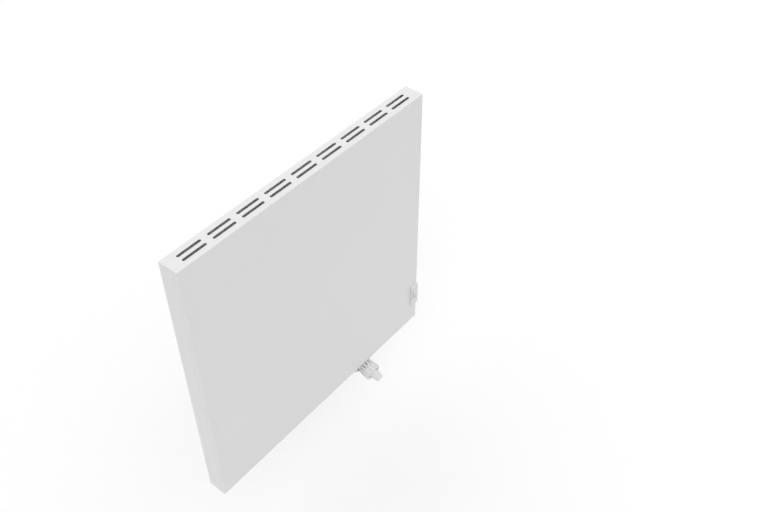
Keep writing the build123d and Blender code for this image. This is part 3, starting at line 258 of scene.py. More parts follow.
class HeaterFinishes(bpy.types.PropertyGroup):
    """Colours of the real materials."""

    casing: colour("Casing", "Powder coat of the casing sheets", "#E8E8E8")
    water_panel: colour("Water panel", "Powder coat of the water panel, fins, lugs and pipes", "#E2E2E1")
    plastic: colour("Plastic", "Moulded wheels, sleeve and cover plate", "#E7E7E6")
    zinc: colour("Zinc", "Zinc-plated screws and braces", "#C9CCCF")
    galvanised: colour("Galvanised", "Galvanised wall rails", "#BFC3C6")
    nickel: colour("Nickel", "Nickel-plated connection block and nuts", "#D3D0CB")
    brass: colour("Brass", "Bare turned brass", "#C8A766")
    rubber: colour("Rubber", "Seals and gaskets", "#202020")
    ink: colour("Ink", "Printed numbers and marks", "#6B6D70")
    peel: length("Orange peel", "Width of one ripple in the powder coat", 2.2)
    grain: length("Plastic grain", "Width of one spark-eroded pit in the moulded plastic", 0.5)
    spangle: length("Spangle", "Width of one zinc crystal on the galvanised rails", 9.0)


class HeaterDetails(bpy.types.PropertyGroup):
    """Sizes of the fine details."""

    recess: length("Recess", "Tip-to-tip width of a screw's cross recess", 4.4)
    recess_slot: length("Recess slot", "Width of one slot of the cross recess", 1.0)
    weld: length("Weld spot", "Diameter of one spot weld on the water panel", 5.0)
    weld_pitch: length("Weld pitch", "Height between two spot welds", 50.0)
    numeral: length("Numeral", "Height of the setting wheel's numbers", 5.2)
    tick: length("Tick", "Length of the marks between the numbers", 2.4)
    slot_growth: length("Slot growth", "How far each slot edge of the grille moves outwards", 0.75)
    thread_pitch: length("Thread pitch", "Pitch of the outlets' inner thread", 1.5)
    thread_depth: length("Thread depth", "Height of the thread's crest above the bore", 0.7)
    facets: IntProperty(name="Facets", description="Steps round a turned form", default=48, min=12)


class HeaterStage(bpy.types.PropertyGroup):
    """Floor and light."""

    floor_drop: length("Floor drop", "Height of the heater's lowest point above the floor", 260.0)
    floor: colour("Floor", "Plain pale floor", "#F2F2F2")
    floor_lift: level("Floor lift", "Light added to the floor as the camera sees it", 0.12)
    sky: level("Sky", "Level of the even light from all round", 0.40)
    top_light: level("Top light", "Strength of the soft light overhead", 1.68)
    front_light: level("Front light", "Strength of the light from the camera's side", 0.30)


# ---- materials: each is named for the real material and how its surface was made ----

# Widths of one ripple, grain or line of a surface. Those of grain, film and tool marks under
# about 1 mm are drawn coarser than they are, so that they show.
COAT_CLOUD = 170 * MM  # slow change of tone across a coated sheet
PLASTIC_CLOUD = 17 * MM
ZINC_MOTTLE = 2.9 * MM
CAST_GRAIN = 1.1 * MM  # of the sand-cast brass under the nickel
NICKEL_CLOUD = 14 * MM
TOOL_RING = 0.35 * MM  # one feed of the lathe's tool
WAVE_AT_SCALE_ONE = pi / 10  # length of one band of Blender's wave pattern
BRASS_TARNISH = 4.5 * MM
RUBBER_BLOOM = 3.3 * MM
INK_GRAIN = 0.67 * MM
DRAWN_LINE_WIDTH = 0.67 * MM
DRAWN_LINE_LENGTH = 25 * MM

MIX_A, MIX_B, MIX_RESULT = 6, 7, 2  # colour sockets of a Mix node
MATERIALS = {}


def empty_tree(owner):
    """Cleared node tree of a material or a world."""
    owner.use_nodes = True
    owner.node_tree.nodes.clear()
    return owner.node_tree


def start_material(name):
    """New node material with object coordinates; one unit is one metre."""
    material = bpy.data.materials.new(name)
    tree = empty_tree(material)
    place = add(tree, "ShaderNodeTexCoord").outputs["Object"]
    MATERIALS[name] = material
    return material, tree, place


def end_material(material, tree, look, height=None, relief=0.0):
    """Principled surface with the given sockets and, where it has one, a height in metres."""
    shader = add(tree, "ShaderNodeBsdfPrincipled", look)
    if height is not None:
        bump = add(tree, "ShaderNodeBump", {"Strength": 1.0, "Distance": relief, "Height": height})
        tree.links.new(bump.outputs[0], shader.inputs["Normal"])
    add(tree, "ShaderNodeOutputMaterial", {"Surface": shader.outputs[0]})
    return material


def noise(tree, place, width, detail):
    """Noise whose ripples are this wide, in metres."""
    values = {"Vector": place, "Scale": 1 / width, "Detail": detail}
    return add(tree, "ShaderNodeTexNoise", values).outputs[0]


def toned(tree, factor, colour_value, low, high):
    """Colour that runs from a low to a high share of its brightness."""
    ends = [(*(min(1.0, c * share) for c in colour_value[:3]), 1.0) for share in (low, high)]
    values = {"Factor": factor, MIX_A: ends[0], MIX_B: ends[1]}
    return add(tree, "ShaderNodeMix", values, data_type="RGBA").outputs[MIX_RESULT]


def ranged(tree, value, low, high):
    """A 0 to 1 value stretched between two limits."""
    return add(tree, "ShaderNodeMapRange", {"Value": value, "To Min": low, "To Max": high}).outputs[0]


def powder_coated_steel(name, colour_value, finishes):
    """Polyester powder baked on folded sheet: even colour, satin sheen, a faint orange peel."""
    material, tree, place = start_material(name)
    peel = noise(tree, place, finishes.peel, 2.0)
    cloud = noise(tree, place, COAT_CLOUD, 3.0)
    look = {
        "Base Color": toned(tree, cloud, colour_value, 0.985, 1.015),
        "Roughness": ranged(tree, cloud, 0.40, 0.50),
        "IOR": 1.5,
    }
    return end_material(material, tree, look, peel, 0.04 * MM)


def moulded_plastic(finishes):
    """Injection-moulded ABS from a spark-eroded mould: satin, with fine even pits."""
    material, tree, place = start_material("moulded_abs")
    pits = noise(tree, place, finishes.grain, 3.0)
    tone = noise(tree, place, PLASTIC_CLOUD, 2.0)
    look = {
        "Base Color": toned(tree, tone, finishes.plastic, 0.97, 1.0),
        "Roughness": ranged(tree, pits, 0.36, 0.50),
        "IOR": 1.52,
    }
    return end_material(material, tree, look, pits, 0.02 * MM)


def zinc_plated_steel(finishes):
    """Bright zinc on cold-rolled steel: soft metal sheen with a cool, slightly mottled tint."""
    material, tree, place = start_material("zinc_plated_steel")
    mottle = noise(tree, place, ZINC_MOTTLE, 4.0)
    look = {
        "Base Color": toned(tree, mottle, finishes.zinc, 0.86, 1.0),
        "Metallic": 1.0,
        "Roughness": ranged(tree, mottle, 0.26, 0.44),
    }
    return end_material(material, tree, look, mottle, 0.01 * MM)


def galvanised_strip(finishes):
    """Hot-dip galvanised strip: zinc crystals of different greys, duller than plating."""
    material, tree, place = start_material("galvanised_strip")
    crystal = add(tree, "ShaderNodeTexVoronoi", {"Vector": place, "Scale": 1 / finishes.spangle})
    tone = add(tree, "ShaderNodeSeparateColor", {"Color": crystal.outputs["Color"]}).outputs[0]
    look = {
        "Base Color": toned(tree, tone, finishes.galvanised, 0.80, 1.10),
        "Metallic": 1.0,
        "Roughness": ranged(tree, tone, 0.38, 0.58),
    }
    return end_material(material, tree, look, crystal.outputs["Distance"], 0.03 * MM)


def nickel_plated_brass(finishes):
    """Satin nickel over a sand-cast and turned brass body: warm grey, softly granular."""
    material, tree, place = start_material("nickel_plated_brass")
    casting = noise(tree, place, CAST_GRAIN, 3.0)
    cloud = noise(tree, place, NICKEL_CLOUD, 3.0)
    look = {
        "Base Color": toned(tree, cloud, finishes.nickel, 0.90, 1.0),
        "Metallic": 1.0,
        "Roughness": ranged(tree, cloud, 0.26, 0.40),
    }
    return end_material(material, tree, look, casting, 0.015 * MM)


def turned_brass(finishes):
    """Bare brass from the lathe: fine tool rings and a warm sheen."""
    material, tree, place = start_material("turned_brass")
    rings = add(
        tree,
        "ShaderNodeTexWave",
        {"Vector": place, "Scale": WAVE_AT_SCALE_ONE / TOOL_RING, "Distortion": 0.6, "Detail": 1.0},
        wave_type="BANDS",
        bands_direction="Z",
    )
    tarnish = noise(tree, place, BRASS_TARNISH, 4.0)
    look = {
        "Base Color": toned(tree, tarnish, finishes.brass, 0.80, 1.0),
        "Metallic": 1.0,
        "Roughness": ranged(tree, tarnish, 0.22, 0.38),
    }
    return end_material(material, tree, look, rings.outputs[0], 0.01 * MM)


def moulded_rubber(finishes):
    """EPDM rubber pressed in a mould: near-black, dull, with a dusty bloom."""
    material, tree, place = start_material("moulded_epdm_rubber")
    bloom = noise(tree, place, RUBBER_BLOOM, 4.0)
    look = {
        "Base Color": toned(tree, bloom, finishes.rubber, 1.0, 2.2),
        "Roughness": ranged(tree, bloom, 0.65, 0.85),
        "IOR": 1.52,
    }
    return end_material(material, tree, look, bloom, 0.02 * MM)


def pad_printed_ink(finishes):
    """Pad-printed ink on plastic: a thin matt film that is slightly uneven."""
    material, tree, place = start_material("pad_printed_ink")
    film = noise(tree, place, INK_GRAIN, 2.0)
    look = {
        "Base Color": toned(tree, film, finishes.ink, 0.88, 1.12),
        "Roughness": ranged(tree, film, 0.5, 0.65),
        "IOR": 1.5,
    }
    return end_material(material, tree, look, film, 0.005 * MM)


def drawn_aluminium(finishes):
    """Deep-drawn aluminium capsule: drawing lines along its length."""
    material, tree, place = start_material("drawn_aluminium")
    squeeze = (DRAWN_LINE_WIDTH / DRAWN_LINE_LENGTH, 1.0, 1.0)
    stretch = add(tree, "ShaderNodeMapping", {"Vector": place, "Scale": squeeze})
    lines = noise(tree, stretch.outputs[0], DRAWN_LINE_WIDTH, 2.0)
    look = {
        "Base Color": toned(tree, lines, finishes.zinc, 0.9, 1.0),
        "Metallic": 1.0,
        "Roughness": ranged(tree, lines, 0.28, 0.42),
    }
    return end_material(material, tree, look, lines, 0.008 * MM)


SLOT_MATERIALS = {
    "enamelled_casing": "powder_coated_casing",
    "enamelled_water_panel": "powder_coated_water_panel",
    "zinc_plated_steel": "zinc_plated_steel",
    "galvanised_rail": "galvanised_strip",
    "nickel_plated_brass": "nickel_plated_brass",
    "brass": "turned_brass",
    "moulded_plastic": "moulded_abs",
    "dark_rubber": "moulded_epdm_rubber",
    "sensor_metal": "drawn_aluminium",
}


class HEATER_OT_finishes(bpy.types.Operator):
    """Makes the materials and gives every CAD part the one of its material slot"""

    bl_idname = "heater.finishes"
    bl_label = "Finish the parts"

    def execute(self, context):
        finishes = context.scene.heater_finishes
        powder_coated_steel("powder_coated_casing", finishes.casing, finishes)
        powder_coated_steel("powder_coated_water_panel", finishes.water_panel, finishes)
        moulded_plastic(finishes)
        zinc_plated_steel(finishes)
        galvanised_strip(finishes)
        nickel_plated_brass(finishes)
        turned_brass(finishes)
        moulded_rubber(finishes)
        pad_printed_ink(finishes)
        drawn_aluminium(finishes)
        for row in frame["record"]["subparts"]:
            node = frame["nodes"][row["node"]]
            node.data.materials.clear()
            node.data.materials.append(MATERIALS[SLOT_MATERIALS[row["material_slot"]]])
        return {"FINISHED"}


# ---- screws ----

HEAD_HEIGHT = 0.6  # of the head's radius
HEAD_CROWN = ((0, 0), (0.72, 0.04), (0.9, 0.2), (1, 0.55), (1, 1))  # shares of radius and height
SHANK_WIDTH = 0.5  # of the head
TIP_WIDTH = 0.3  # of the shank
RECESS_DEPTH = 0.6  # of the head's height
RANDOM_MAX, RANDOM_RESULT = 3, 1  # plain number sockets of a Random Value node


def recess_cutter(top, depth, details):
    """Cross of two bars, half of it below the given height."""
    work = bmesh.new()
    size = Matrix.Diagonal((details.recess, details.recess_slot, 2 * depth, 1))
    lift = Matrix.Translation((0, 0, top))
    for turn in (0, pi / 2):
        bmesh.ops.create_cube(work, size=1, matrix=lift @ Matrix.Rotation(turn, 4, "Z") @ size)
    return link_object("recess_cutter", mesh_from_bmesh(work, "recess_cutter", smooth=False))


def screw_form(box, details):
    """Pan-head screw with a cross recess, head towards +Y, its middle axis through the origin."""
    low, high = box
    total = high.y - low.y
    head_r = (high.x - low.x) / 2
    shank_r = SHANK_WIDTH * head_r
    head = HEAD_HEIGHT * head_r
    profile = [(across * head_r, -down * head) for across, down in HEAD_CROWN]
    profile += [(shank_r, -head), (shank_r, shank_r - total), (TIP_WIDTH * shank_r, -total), (0, -total)]
    work = lathe(profile, details.facets)
    bmesh.ops.translate(work, verts=work.verts, vec=(0, 0, high.y))
    form = link_object("screw_form", mesh_from_bmesh(work, "screw_form"))
    cutter = recess_cutter(high.y, RECESS_DEPTH * head, details)
    cut = form.modifiers.new("recess", "BOOLEAN")
    cut.object = cutter
    cut.use_self = True
    mesh = evaluated_copy(form, "screw_form")
    mesh.transform(Matrix.Rotation(-pi / 2, 4, "X"))
    mesh.set_sharp_from_angle(angle=radians(SHARP_ANGLE))
    bpy.data.objects.remove(cutter)
    form.modifiers.clear()
    form.data = mesh
    return form


def copies_tree():
    """Copies of one form on points, each turned by chance about Y."""
    sockets = [
        ("Form", "NodeSocketObject"),
        ("Material", "NodeSocketMaterial"),
        ("Seed", "NodeSocketInt"),
    ]
    tree, inputs = geometry_tree("screw_copies", sockets)
    points = add(tree, "GeometryNodeMeshToPoints", {"Mesh": inputs["Geometry"]})
    form = add(tree, "GeometryNodeObjectInfo", {"Object": inputs["Form"]})
    chance = {RANDOM_MAX: tau, "Seed": inputs["Seed"]}
    angle = add(tree, "FunctionNodeRandomValue", chance, data_type="FLOAT").outputs[RANDOM_RESULT]
    turn = add(tree, "FunctionNodeAxisAngleToRotation", {"Axis": (0, 1, 0), "Angle": angle})
    copies = add(
        tree,
        "GeometryNodeInstanceOnPoints",
        {"Points": points.outputs[0], "Instance": form.outputs["Geometry"], "Rotation": turn.outputs[0]},
    )
    return close_tree(tree, copies.outputs[0], inputs["Material"])


class HEATER_OT_screws(bpy.types.Operator):
    """Pan-head screws with cross recesses in place of the plain ones"""

    bl_idname = "heater.screws"
    bl_label = "Add the screws"

    def execute(self, context):
        details = context.scene.heater_details
        tree = copies_tree()
        for node in ("casing_screws", "control_plate_screws"):
            boxes = islands(merged_copy(node))
            form = screw_form(boxes[0], details)
            values = {"Form": form, "Material": MATERIALS["zinc_plated_steel"], "Seed": RANDOM_SEED}
            places = [((low.x + high.x) / 2, 0, (low.z + high.z) / 2) for low, high in boxes]
            piece = grow(node.replace("_screws", "_pan_head_screws"), tree, values, places)
            bpy.data.objects.remove(form)
            finish_piece(piece, FIXED, "zinc_plated_steel", node)
        return {"FINISHED"}


# ---- spot welds of the water panel ----

SHELL_SHEET = 1.25 * MM
CHANNEL_PITCH = 100.0 / 3 * MM  # of the water panel's channels, one of which is at X = 0
CHANNEL_EDGE = 20.0 * MM  # least distance of a channel's middle from the panel's edge
WELD_ROWS = 16
WELD_MARGIN = 57.0 * MM  # from the panel's lower edge to the lowest row
WELD_RELIEF = 0.35 * MM
WELD_SEGMENTS, WELD_RINGS = 12, 6


def weld_tree():
    """Grid of flat domes that stand out of a sheet facing Y."""
    sockets = [
        ("Columns", "NodeSocketInt"),
        ("Rows", "NodeSocketInt"),
        ("Width", "NodeSocketFloat"),
        ("Height", "NodeSocketFloat"),
        ("Place", "NodeSocketVector"),
        ("Spot", "NodeSocketVector"),
        ("Material", "NodeSocketMaterial"),
    ]
    tree, inputs = geometry_tree("spot_weld_grid", sockets)
    grid = add(
        tree,
        "GeometryNodeMeshGrid",
        {
            "Size X": inputs["Width"],
            "Size Y": inputs["Height"],
            "Vertices X": inputs["Columns"],
            "Vertices Y": inputs["Rows"],
        },
    )
    upright = add(
        tree,
        "GeometryNodeTransform",
        {"Geometry": grid.outputs[0], "Translation": inputs["Place"], "Rotation": (pi / 2, 0, 0)},
    )
    ball = {"Segments": WELD_SEGMENTS, "Rings": WELD_RINGS, "Radius": 1.0}
    spot = add(tree, "GeometryNodeMeshUVSphere", ball)
    smooth = add(tree, "GeometryNodeSetShadeSmooth", {"Geometry": spot.outputs[0]})
    copies = add(
        tree,
        "GeometryNodeInstanceOnPoints",
        {"Points": upright.outputs[0], "Instance": smooth.outputs[0], "Scale": inputs["Spot"]},
    )
    return close_tree(tree, copies.outputs[0], inputs["Material"])


class HEATER_OT_spot_welds(bpy.types.Operator):
    """Spot welds between the channels of both water shells"""

    bl_idname = "heater.spot_welds"
    bl_label = "Add the spot welds"

    def execute(self, context):
        details = context.scene.heater_details
        tree = weld_tree()
        low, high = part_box("front_water_shell")
        first = int((low.x + CHANNEL_EDGE) / CHANNEL_PITCH)  # channels, counted from X = 0
        last = int((high.x - CHANNEL_EDGE) / CHANNEL_PITCH)
        middle = (first + last) / 2 * CHANNEL_PITCH
        height = (WELD_ROWS - 1) * details.weld_pitch
        centre = low.z + WELD_MARGIN + height / 2
        for name, side in (("front_spot_welds", -1), ("rear_spot_welds", 1)):
            values = {
                "Columns": last - first,
                "Rows": WELD_ROWS,
                "Width": (last - first - 1) * CHANNEL_PITCH,
                "Height": height,
                "Place": (middle, high.y + side * SHELL_SHEET, centre),
                "Spot": (details.weld / 2, WELD_RELIEF, details.weld / 2),
                "Material": MATERIALS["powder_coated_water_panel"],
            }
            finish_piece(grow(name, tree, values), FIXED, "enamelled_water_panel")
        return {"FINISHED"}


# ---- numbers and marks of the setting wheel ----

NUMERALS = "0123456"
NUMERAL_STEP = 45.0  # degrees between two numbers
NUMERAL_AT_REST = 3  # the number in the middle of the window at rest
NUMERAL_STRETCH = 0.85  # narrower than the font, to fit between the ribbed rims
FONT_SIZE = 1.4  # of the height of a numeral
BAND_DROP = 0.6 * MM  # of the number band below the rims
INK_FILM = 0.12 * MM
TICKS_PER_STEP = 4
TICK_WIDTH = 0.36 * MM
TICK_OFFSET = 0.62  # of a numeral's height, from the middle of the band


def wheel_axis():
    """Middle of the setting wheel and the radius of its number band."""
    low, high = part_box("setting_wheel")
    return (low + high) / 2, (high.z - low.z) / 2 - BAND_DROP


def wrap_on_wheel(mesh, middle, radius, angle):
    """Bends a flat mesh onto the wheel: its X along the axis, its Y round the rim, its Z outwards."""
    for vert in mesh.vertices:
        around = angle + vert.co.y / radius
        reach = radius + vert.co.z
        x = middle.x + vert.co.x
        vert.co = (x, middle.y - reach * cos(around), middle.z + reach * sin(around))


def numeral_mesh(character, height):
    """Flat mesh of one numeral, centred, with the ink film's thickness."""
    curve = bpy.data.curves.new("numeral_" + character, "FONT")
    curve.body = character
    curve.size = FONT_SIZE * height
    curve.align_x = "CENTER"
    curve.align_y = "CENTER"
    curve.extrude = INK_FILM / 2
    carrier = link_object("numeral_" + character, curve)
    mesh = evaluated_copy(carrier, "numeral_" + character)
    bpy.data.objects.remove(carrier)
    bpy.data.curves.remove(curve)
    squeeze = Matrix.Diagonal((NUMERAL_STRETCH, 1, 1, 1))
    mesh.transform(Matrix.Translation((0, 0, INK_FILM / 2)) @ squeeze)
    return mesh


def tick_tree():
    """Small printed bars at even steps round a circle about X."""
    sockets = [
        ("Count", "NodeSocketInt"),
        ("Radius", "NodeSocketFloat"),
        ("Start", "NodeSocketFloat"),
        ("Step", "NodeSocketFloat"),
        ("Centre", "NodeSocketVector"),
        ("Bar", "NodeSocketVector"),
        ("Material", "NodeSocketMaterial"),
    ]
    tree, inputs = geometry_tree("wheel_ticks", sockets)
    line = add(tree, "GeometryNodeMeshLine", {"Count": inputs["Count"], "Offset": (0, 0, 0)})
    index = add(tree, "GeometryNodeInputIndex")
    steps = add(tree, "ShaderNodeMath", {0: index.outputs[0], 1: inputs["Step"]}, operation="MULTIPLY")
    angle = add(tree, "ShaderNodeMath", {0: steps.outputs[0], 1: inputs["Start"]}, operation="ADD")
    turn = add(
        tree, "FunctionNodeAxisAngleToRotation", {"Axis": (-1, 0, 0), "Angle": angle.outputs[0]}
    )
    reach = add(tree, "ShaderNodeMath", {0: inputs["Radius"], 1: -1.0}, operation="MULTIPLY")
    arm = add(tree, "ShaderNodeCombineXYZ", {"Y": reach.outputs[0]})
    swung = add(
        tree, "FunctionNodeRotateVector", {"Vector": arm.outputs[0], "Rotation": turn.outputs[0]}
    )
    spot = add(
        tree, "ShaderNodeVectorMath", {0: swung.outputs[0], 1: inputs["Centre"]}, operation="ADD"
    )
    placed = add(
        tree, "GeometryNodeSetPosition", {"Geometry": line.outputs[0], "Position": spot.outputs[0]}
    )
    bar = add(tree, "GeometryNodeMeshCube", {"Size": inputs["Bar"]})
    copies = add(
        tree,
        "GeometryNodeInstanceOnPoints",
        {"Points": placed.outputs[0], "Instance": bar.outputs[0], "Rotation": turn.outputs[0]},
    )
    return close_tree(tree, copies.outputs[0], inputs["Material"])


class HEATER_OT_wheel_marks(bpy.types.Operator):
    """Plain numbers and marks round the setting wheel's smooth band"""

    bl_idname = "heater.wheel_marks"
    bl_label = "Add the wheel's numbers"

    def execute(self, context):
        details = context.scene.heater_details
        middle, radius = wheel_axis()
        joined = bmesh.new()
        for place, character in enumerate(NUMERALS):
            angle = radians((NUMERAL_AT_REST - place) * NUMERAL_STEP)
            mesh = numeral_mesh(character, details.numeral)
            wrap_on_wheel(mesh, middle, radius, angle)
            joined.from_mesh(mesh)
            bpy.data.meshes.remove(mesh)
        bmesh.ops.remove_doubles(joined, verts=joined.verts, dist=MERGE_DISTANCE)
        bmesh.ops.recalc_face_normals(joined, faces=joined.faces)
        numbers = link_object("wheel_numbers", mesh_from_bmesh(joined, "wheel_numbers", smooth=False))
        numbers.data.materials.append(MATERIALS["pad_printed_ink"])
        finish_piece(numbers, WHEEL_BODY, "moulded_plastic")
        step = radians(NUMERAL_STEP) / TICKS_PER_STEP
        count = TICKS_PER_STEP * (len(NUMERALS) - 1) + 1
        values = {
            "Count": count,
            "Radius": radius,
            "Start": -step * (count - 1) / 2,
            "Step": step,
            "Centre": middle + Vector((TICK_OFFSET * details.numeral, 0, 0)),
            "Bar": (details.tick, INK_FILM, TICK_WIDTH),
            "Material": MATERIALS["pad_printed_ink"],
        }
        finish_piece(grow("wheel_ticks", tick_tree(), values), WHEEL_BODY, "moulded_plastic")
        return {"FINISHED"}


# ---- top grille ----

GRILLE_SHEET = 1.25 * MM
UPRIGHT = 0.1  # an upright face's normal points upwards by less than this
SLOT_LIMIT = 0.2  # a slot is shorter than this share of the grille


def slot_boxes():
    """Lowest and highest corner of each slot, from the upright faces within the grille's sheet."""
    low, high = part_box("top_grille")
    underside = high.z - GRILLE_SHEET - MERGE_DISTANCE
    work = merged_copy("top_grille")
    work.normal_update()
    others = [
        face
        for face in work.faces
        if abs(face.normal.z) > UPRIGHT or min(vert.co.z for vert in face.verts) < underside
    ]
    bmesh.ops.delete(work, geom=others, context="FACES")
    return [box for box in islands(work) if box[1].x - box[0].x < SLOT_LIMIT * (high.x - low.x)]


def widen_slot(work, box, growth):
    """Moves the outline of one round-ended slot outwards."""
    low, high = box
    radius = (high.y - low.y) / 2
    row = (low.y + high.y) / 2
    for vert in work.verts:
        if all(low[i] - MERGE_DISTANCE < vert.co[i] < high[i] + MERGE_DISTANCE for i in range(3)):
            x = min(max(vert.co.x, low.x + radius), high.x - radius)
            axis = Vector((x, row, vert.co.z))
            vert.co = axis + (vert.co - axis) * (1 + growth / radius)


class HEATER_OT_top_grille(bpy.types.Operator):
    """Top grille with its slots opened to the width in the photograph"""

    bl_idname = "heater.top_grille"
    bl_label = "Add the top grille"

    def execute(self, context):
        growth = context.scene.heater_details.slot_growth
        boxes = slot_boxes()
        if not boxes:
            raise RuntimeError("no slot was found in the top grille")
        work = merged_copy("top_grille")
        for box in boxes:
            widen_slot(work, box, growth)
        mesh = mesh_from_bmesh(work, "open_top_grille", smooth=False)
        mesh.materials.append(MATERIALS["powder_coated_casing"])
        finish_piece(link_object("open_top_grille", mesh), FIXED, "enamelled_casing", "top_grille")
        return {"FINISHED"}


# ---- cover plate of the setting wheel ----

PLATE_FACE = 2.6 * MM  # thickness of the plate's face
PLATE_OVERHANG = 2.4 * MM  # of the face past its skirt, left and right
PLATE_SKIRT = 1.4 * MM  # thickness of its skirt
PLATE_OVERLAP = 0.2 * MM  # of the skirt into the face
PLATE_EDGE = 0.7 * MM  # rounding of the face
PLATE_EDGE_STEPS = 3
WINDOW_GAP = 1.0 * MM  # between the wheel and each side of its window


def inset(box, across, up):
    """Flat box (x0, x1, z0, z1) with its sides moved inwards."""
    return box[0] + across, box[1] - across, box[2] + up, box[3] - up


def framed_slab(outer, hole, front, back):
    """Flat rectangular frame facing Y; outer and hole are (x0, x1, z0, z1)."""
    xs = (outer[0], hole[0], hole[1], outer[1])
    zs = (outer[2], hole[2], hole[3], outer[3])
    work = bmesh.new()
    grid = [[work.verts.new((x, front, z)) for z in zs] for x in xs]
    cells = [(i, k) for i in range(3) for k in range(3) if (i, k) != (1, 1)]
    for i, k in cells:
        work.faces.new((grid[i][k], grid[i + 1][k], grid[i + 1][k + 1], grid[i][k + 1]))
    thick = bmesh.ops.extrude_face_region(work, geom=work.faces[:], use_keep_orig=True)
    moved = [v for v in thick["geom"] if isinstance(v, bmesh.types.BMVert)]
    bmesh.ops.translate(work, verts=moved, vec=(0, back - front, 0))
    bmesh.ops.recalc_face_normals(work, faces=work.faces)
    return work


def window_of(plate_front):
    """Window round the setting wheel, where its rim comes through the plate's face."""
    low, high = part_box("setting_wheel")
    radius = (high.z - low.z) / 2
    middle = (low + high) / 2
    half = (radius**2 - (middle.y - plate_front - PLATE_FACE) ** 2) ** 0.5
    return inset((low.x, high.x, middle.z - half, middle.z + half), -WINDOW_GAP, -WINDOW_GAP)


class HEATER_OT_cover_plate(bpy.types.Operator):
    """Moulded cover plate with rounded edges and an undercut down each side"""

    bl_idname = "heater.cover_plate"
    bl_label = "Add the cover plate"

    def execute(self, context):
        low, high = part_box("control_plate")
        outer = (low.x, high.x, low.z, high.z)
        face = framed_slab(outer, window_of(low.y), low.y, low.y + PLATE_FACE)
        carrier = link_object("plate_face", mesh_from_bmesh(face, "plate_face", smooth=False))
        rounding = carrier.modifiers.new("rounding", "BEVEL")
        rounding.width = PLATE_EDGE
        rounding.segments = PLATE_EDGE_STEPS
        rounding.limit_method = "ANGLE"
        rounded = evaluated_copy(carrier, "plate_face_rounded")
        bpy.data.objects.remove(carrier)
        skirt = inset(outer, PLATE_OVERHANG, PLATE_EDGE / 2)  # its corners stay inside the rounded face
        hollow = inset(skirt, PLATE_SKIRT, PLATE_SKIRT)
        joined = framed_slab(skirt, hollow, low.y + PLATE_FACE - PLATE_OVERLAP, high.y)
        joined.from_mesh(rounded)
        bpy.data.meshes.remove(rounded)
        mesh = mesh_from_bmesh(joined, "cover_plate")
        mesh.set_sharp_from_angle(angle=radians(SHARP_ANGLE))
        mesh.materials.append(MATERIALS["moulded_abs"])
        finish_piece(link_object("cover_plate", mesh), FIXED, "moulded_plastic", "control_plate")
        return {"FINISHED"}


# ---- grip ring of the shut-off head ----

RING_LOBES = 8
RING_TURN = 35.0  # degrees, first scallop from the horizontal when shut
RING_STEPS = 240
RING_SHARP_ANGLE = 40.0  # degrees
SCALLOP_R = 7.0 * MM
SCALLOP_DEPTH = 4.6 * MM
SCALLOP_BLEND = 0.8 * MM  # rounding between a scallop and its lobes
RING_EDGE = 4.0 * MM
RING_BACK_EDGE = 1.0 * MM
RING_BORE_R = 9.1 * MM
RING_BORE_DEPTH = 14.0 * MM
DISH_OUTER_R = 22.4 * MM  # annular dish between the rim and the hub that carries the nose
DISH_DEPTH = 5.0 * MM
HUB_R = 16.5 * MM
HUB_RECESS_R = 11.6 * MM
HUB_RECESS_DEPTH = 4.0 * MM
SCREW_SEAT_R = 5.1 * MM
SCREW_SEAT_DEPTH = 8.5 * MM
SMALL_EDGE = 0.8 * MM
EDGE_STEPS = 8  # of the front rounding
SMALL_EDGE_STEPS = 3


def shutoff_axes():
    """Start point, direction and sideways direction of the shut-off head, from its joint."""
    joint = next(j for j in frame["record"]["behaviour"]["joints"] if j["name"] == "shutoff_turn")
    return Vector(joint["pos_m"]), Vector(joint["axis"]).normalized(), Vector((1, 0, 0))


def extent_along(node, start, direction):
    """Nearest and farthest distance of a CAD node along an axis, and its largest radius about it."""
    offsets = [v.co - start for v in frame["nodes"][node].data.vertices]
    along = [offset.dot(direction) for offset in offsets]
    radius = max((offset - a * direction).length for offset, a in zip(offsets, along))
    return min(along), max(along), radius


def arc(centre, radius, first, last, steps):
    """Points of an arc in (radius, distance), angles in degrees from the outward direction."""
    angles = [radians(first + (last - first) * k / steps) for k in range(steps + 1)]
    return [(centre[0] + radius * cos(a), centre[1] + radius * sin(a)) for a in angles]


def ring_profile(back, front, outer):
    """Half section of the grip ring, from the floor of its bore round to the screw's seat."""
    dish = front - DISH_DEPTH
    profile = [(0, back + RING_BORE_DEPTH), (RING_BORE_R, back + RING_BORE_DEPTH), (RING_BORE_R, back)]
    for middle, height, radius, first, last, steps in (
        (outer - RING_BACK_EDGE, back + RING_BACK_EDGE, RING_BACK_EDGE, -90, 0, SMALL_EDGE_STEPS),
        (outer - RING_EDGE, front - RING_EDGE, RING_EDGE, 0, 90, EDGE_STEPS),
        (DISH_OUTER_R + SMALL_EDGE, front - SMALL_EDGE, SMALL_EDGE, 90, 180, SMALL_EDGE_STEPS),
        (DISH_OUTER_R - SMALL_EDGE, dish + SMALL_EDGE, SMALL_EDGE, 0, -90, SMALL_EDGE_STEPS),
        (HUB_R + SMALL_EDGE, dish + SMALL_EDGE, SMALL_EDGE, -90, -180, SMALL_EDGE_STEPS),
    ):
        profile += arc((middle, height), radius, first, last, steps)
    profile += [(HUB_R, front), (HUB_RECESS_R, front), (HUB_RECESS_R, front - HUB_RECESS_DEPTH)]
    profile += [(SCREW_SEAT_R, front - HUB_RECESS_DEPTH), (SCREW_SEAT_R, front - SCREW_SEAT_DEPTH)]
    return profile + [(0, front - SCREW_SEAT_DEPTH)]


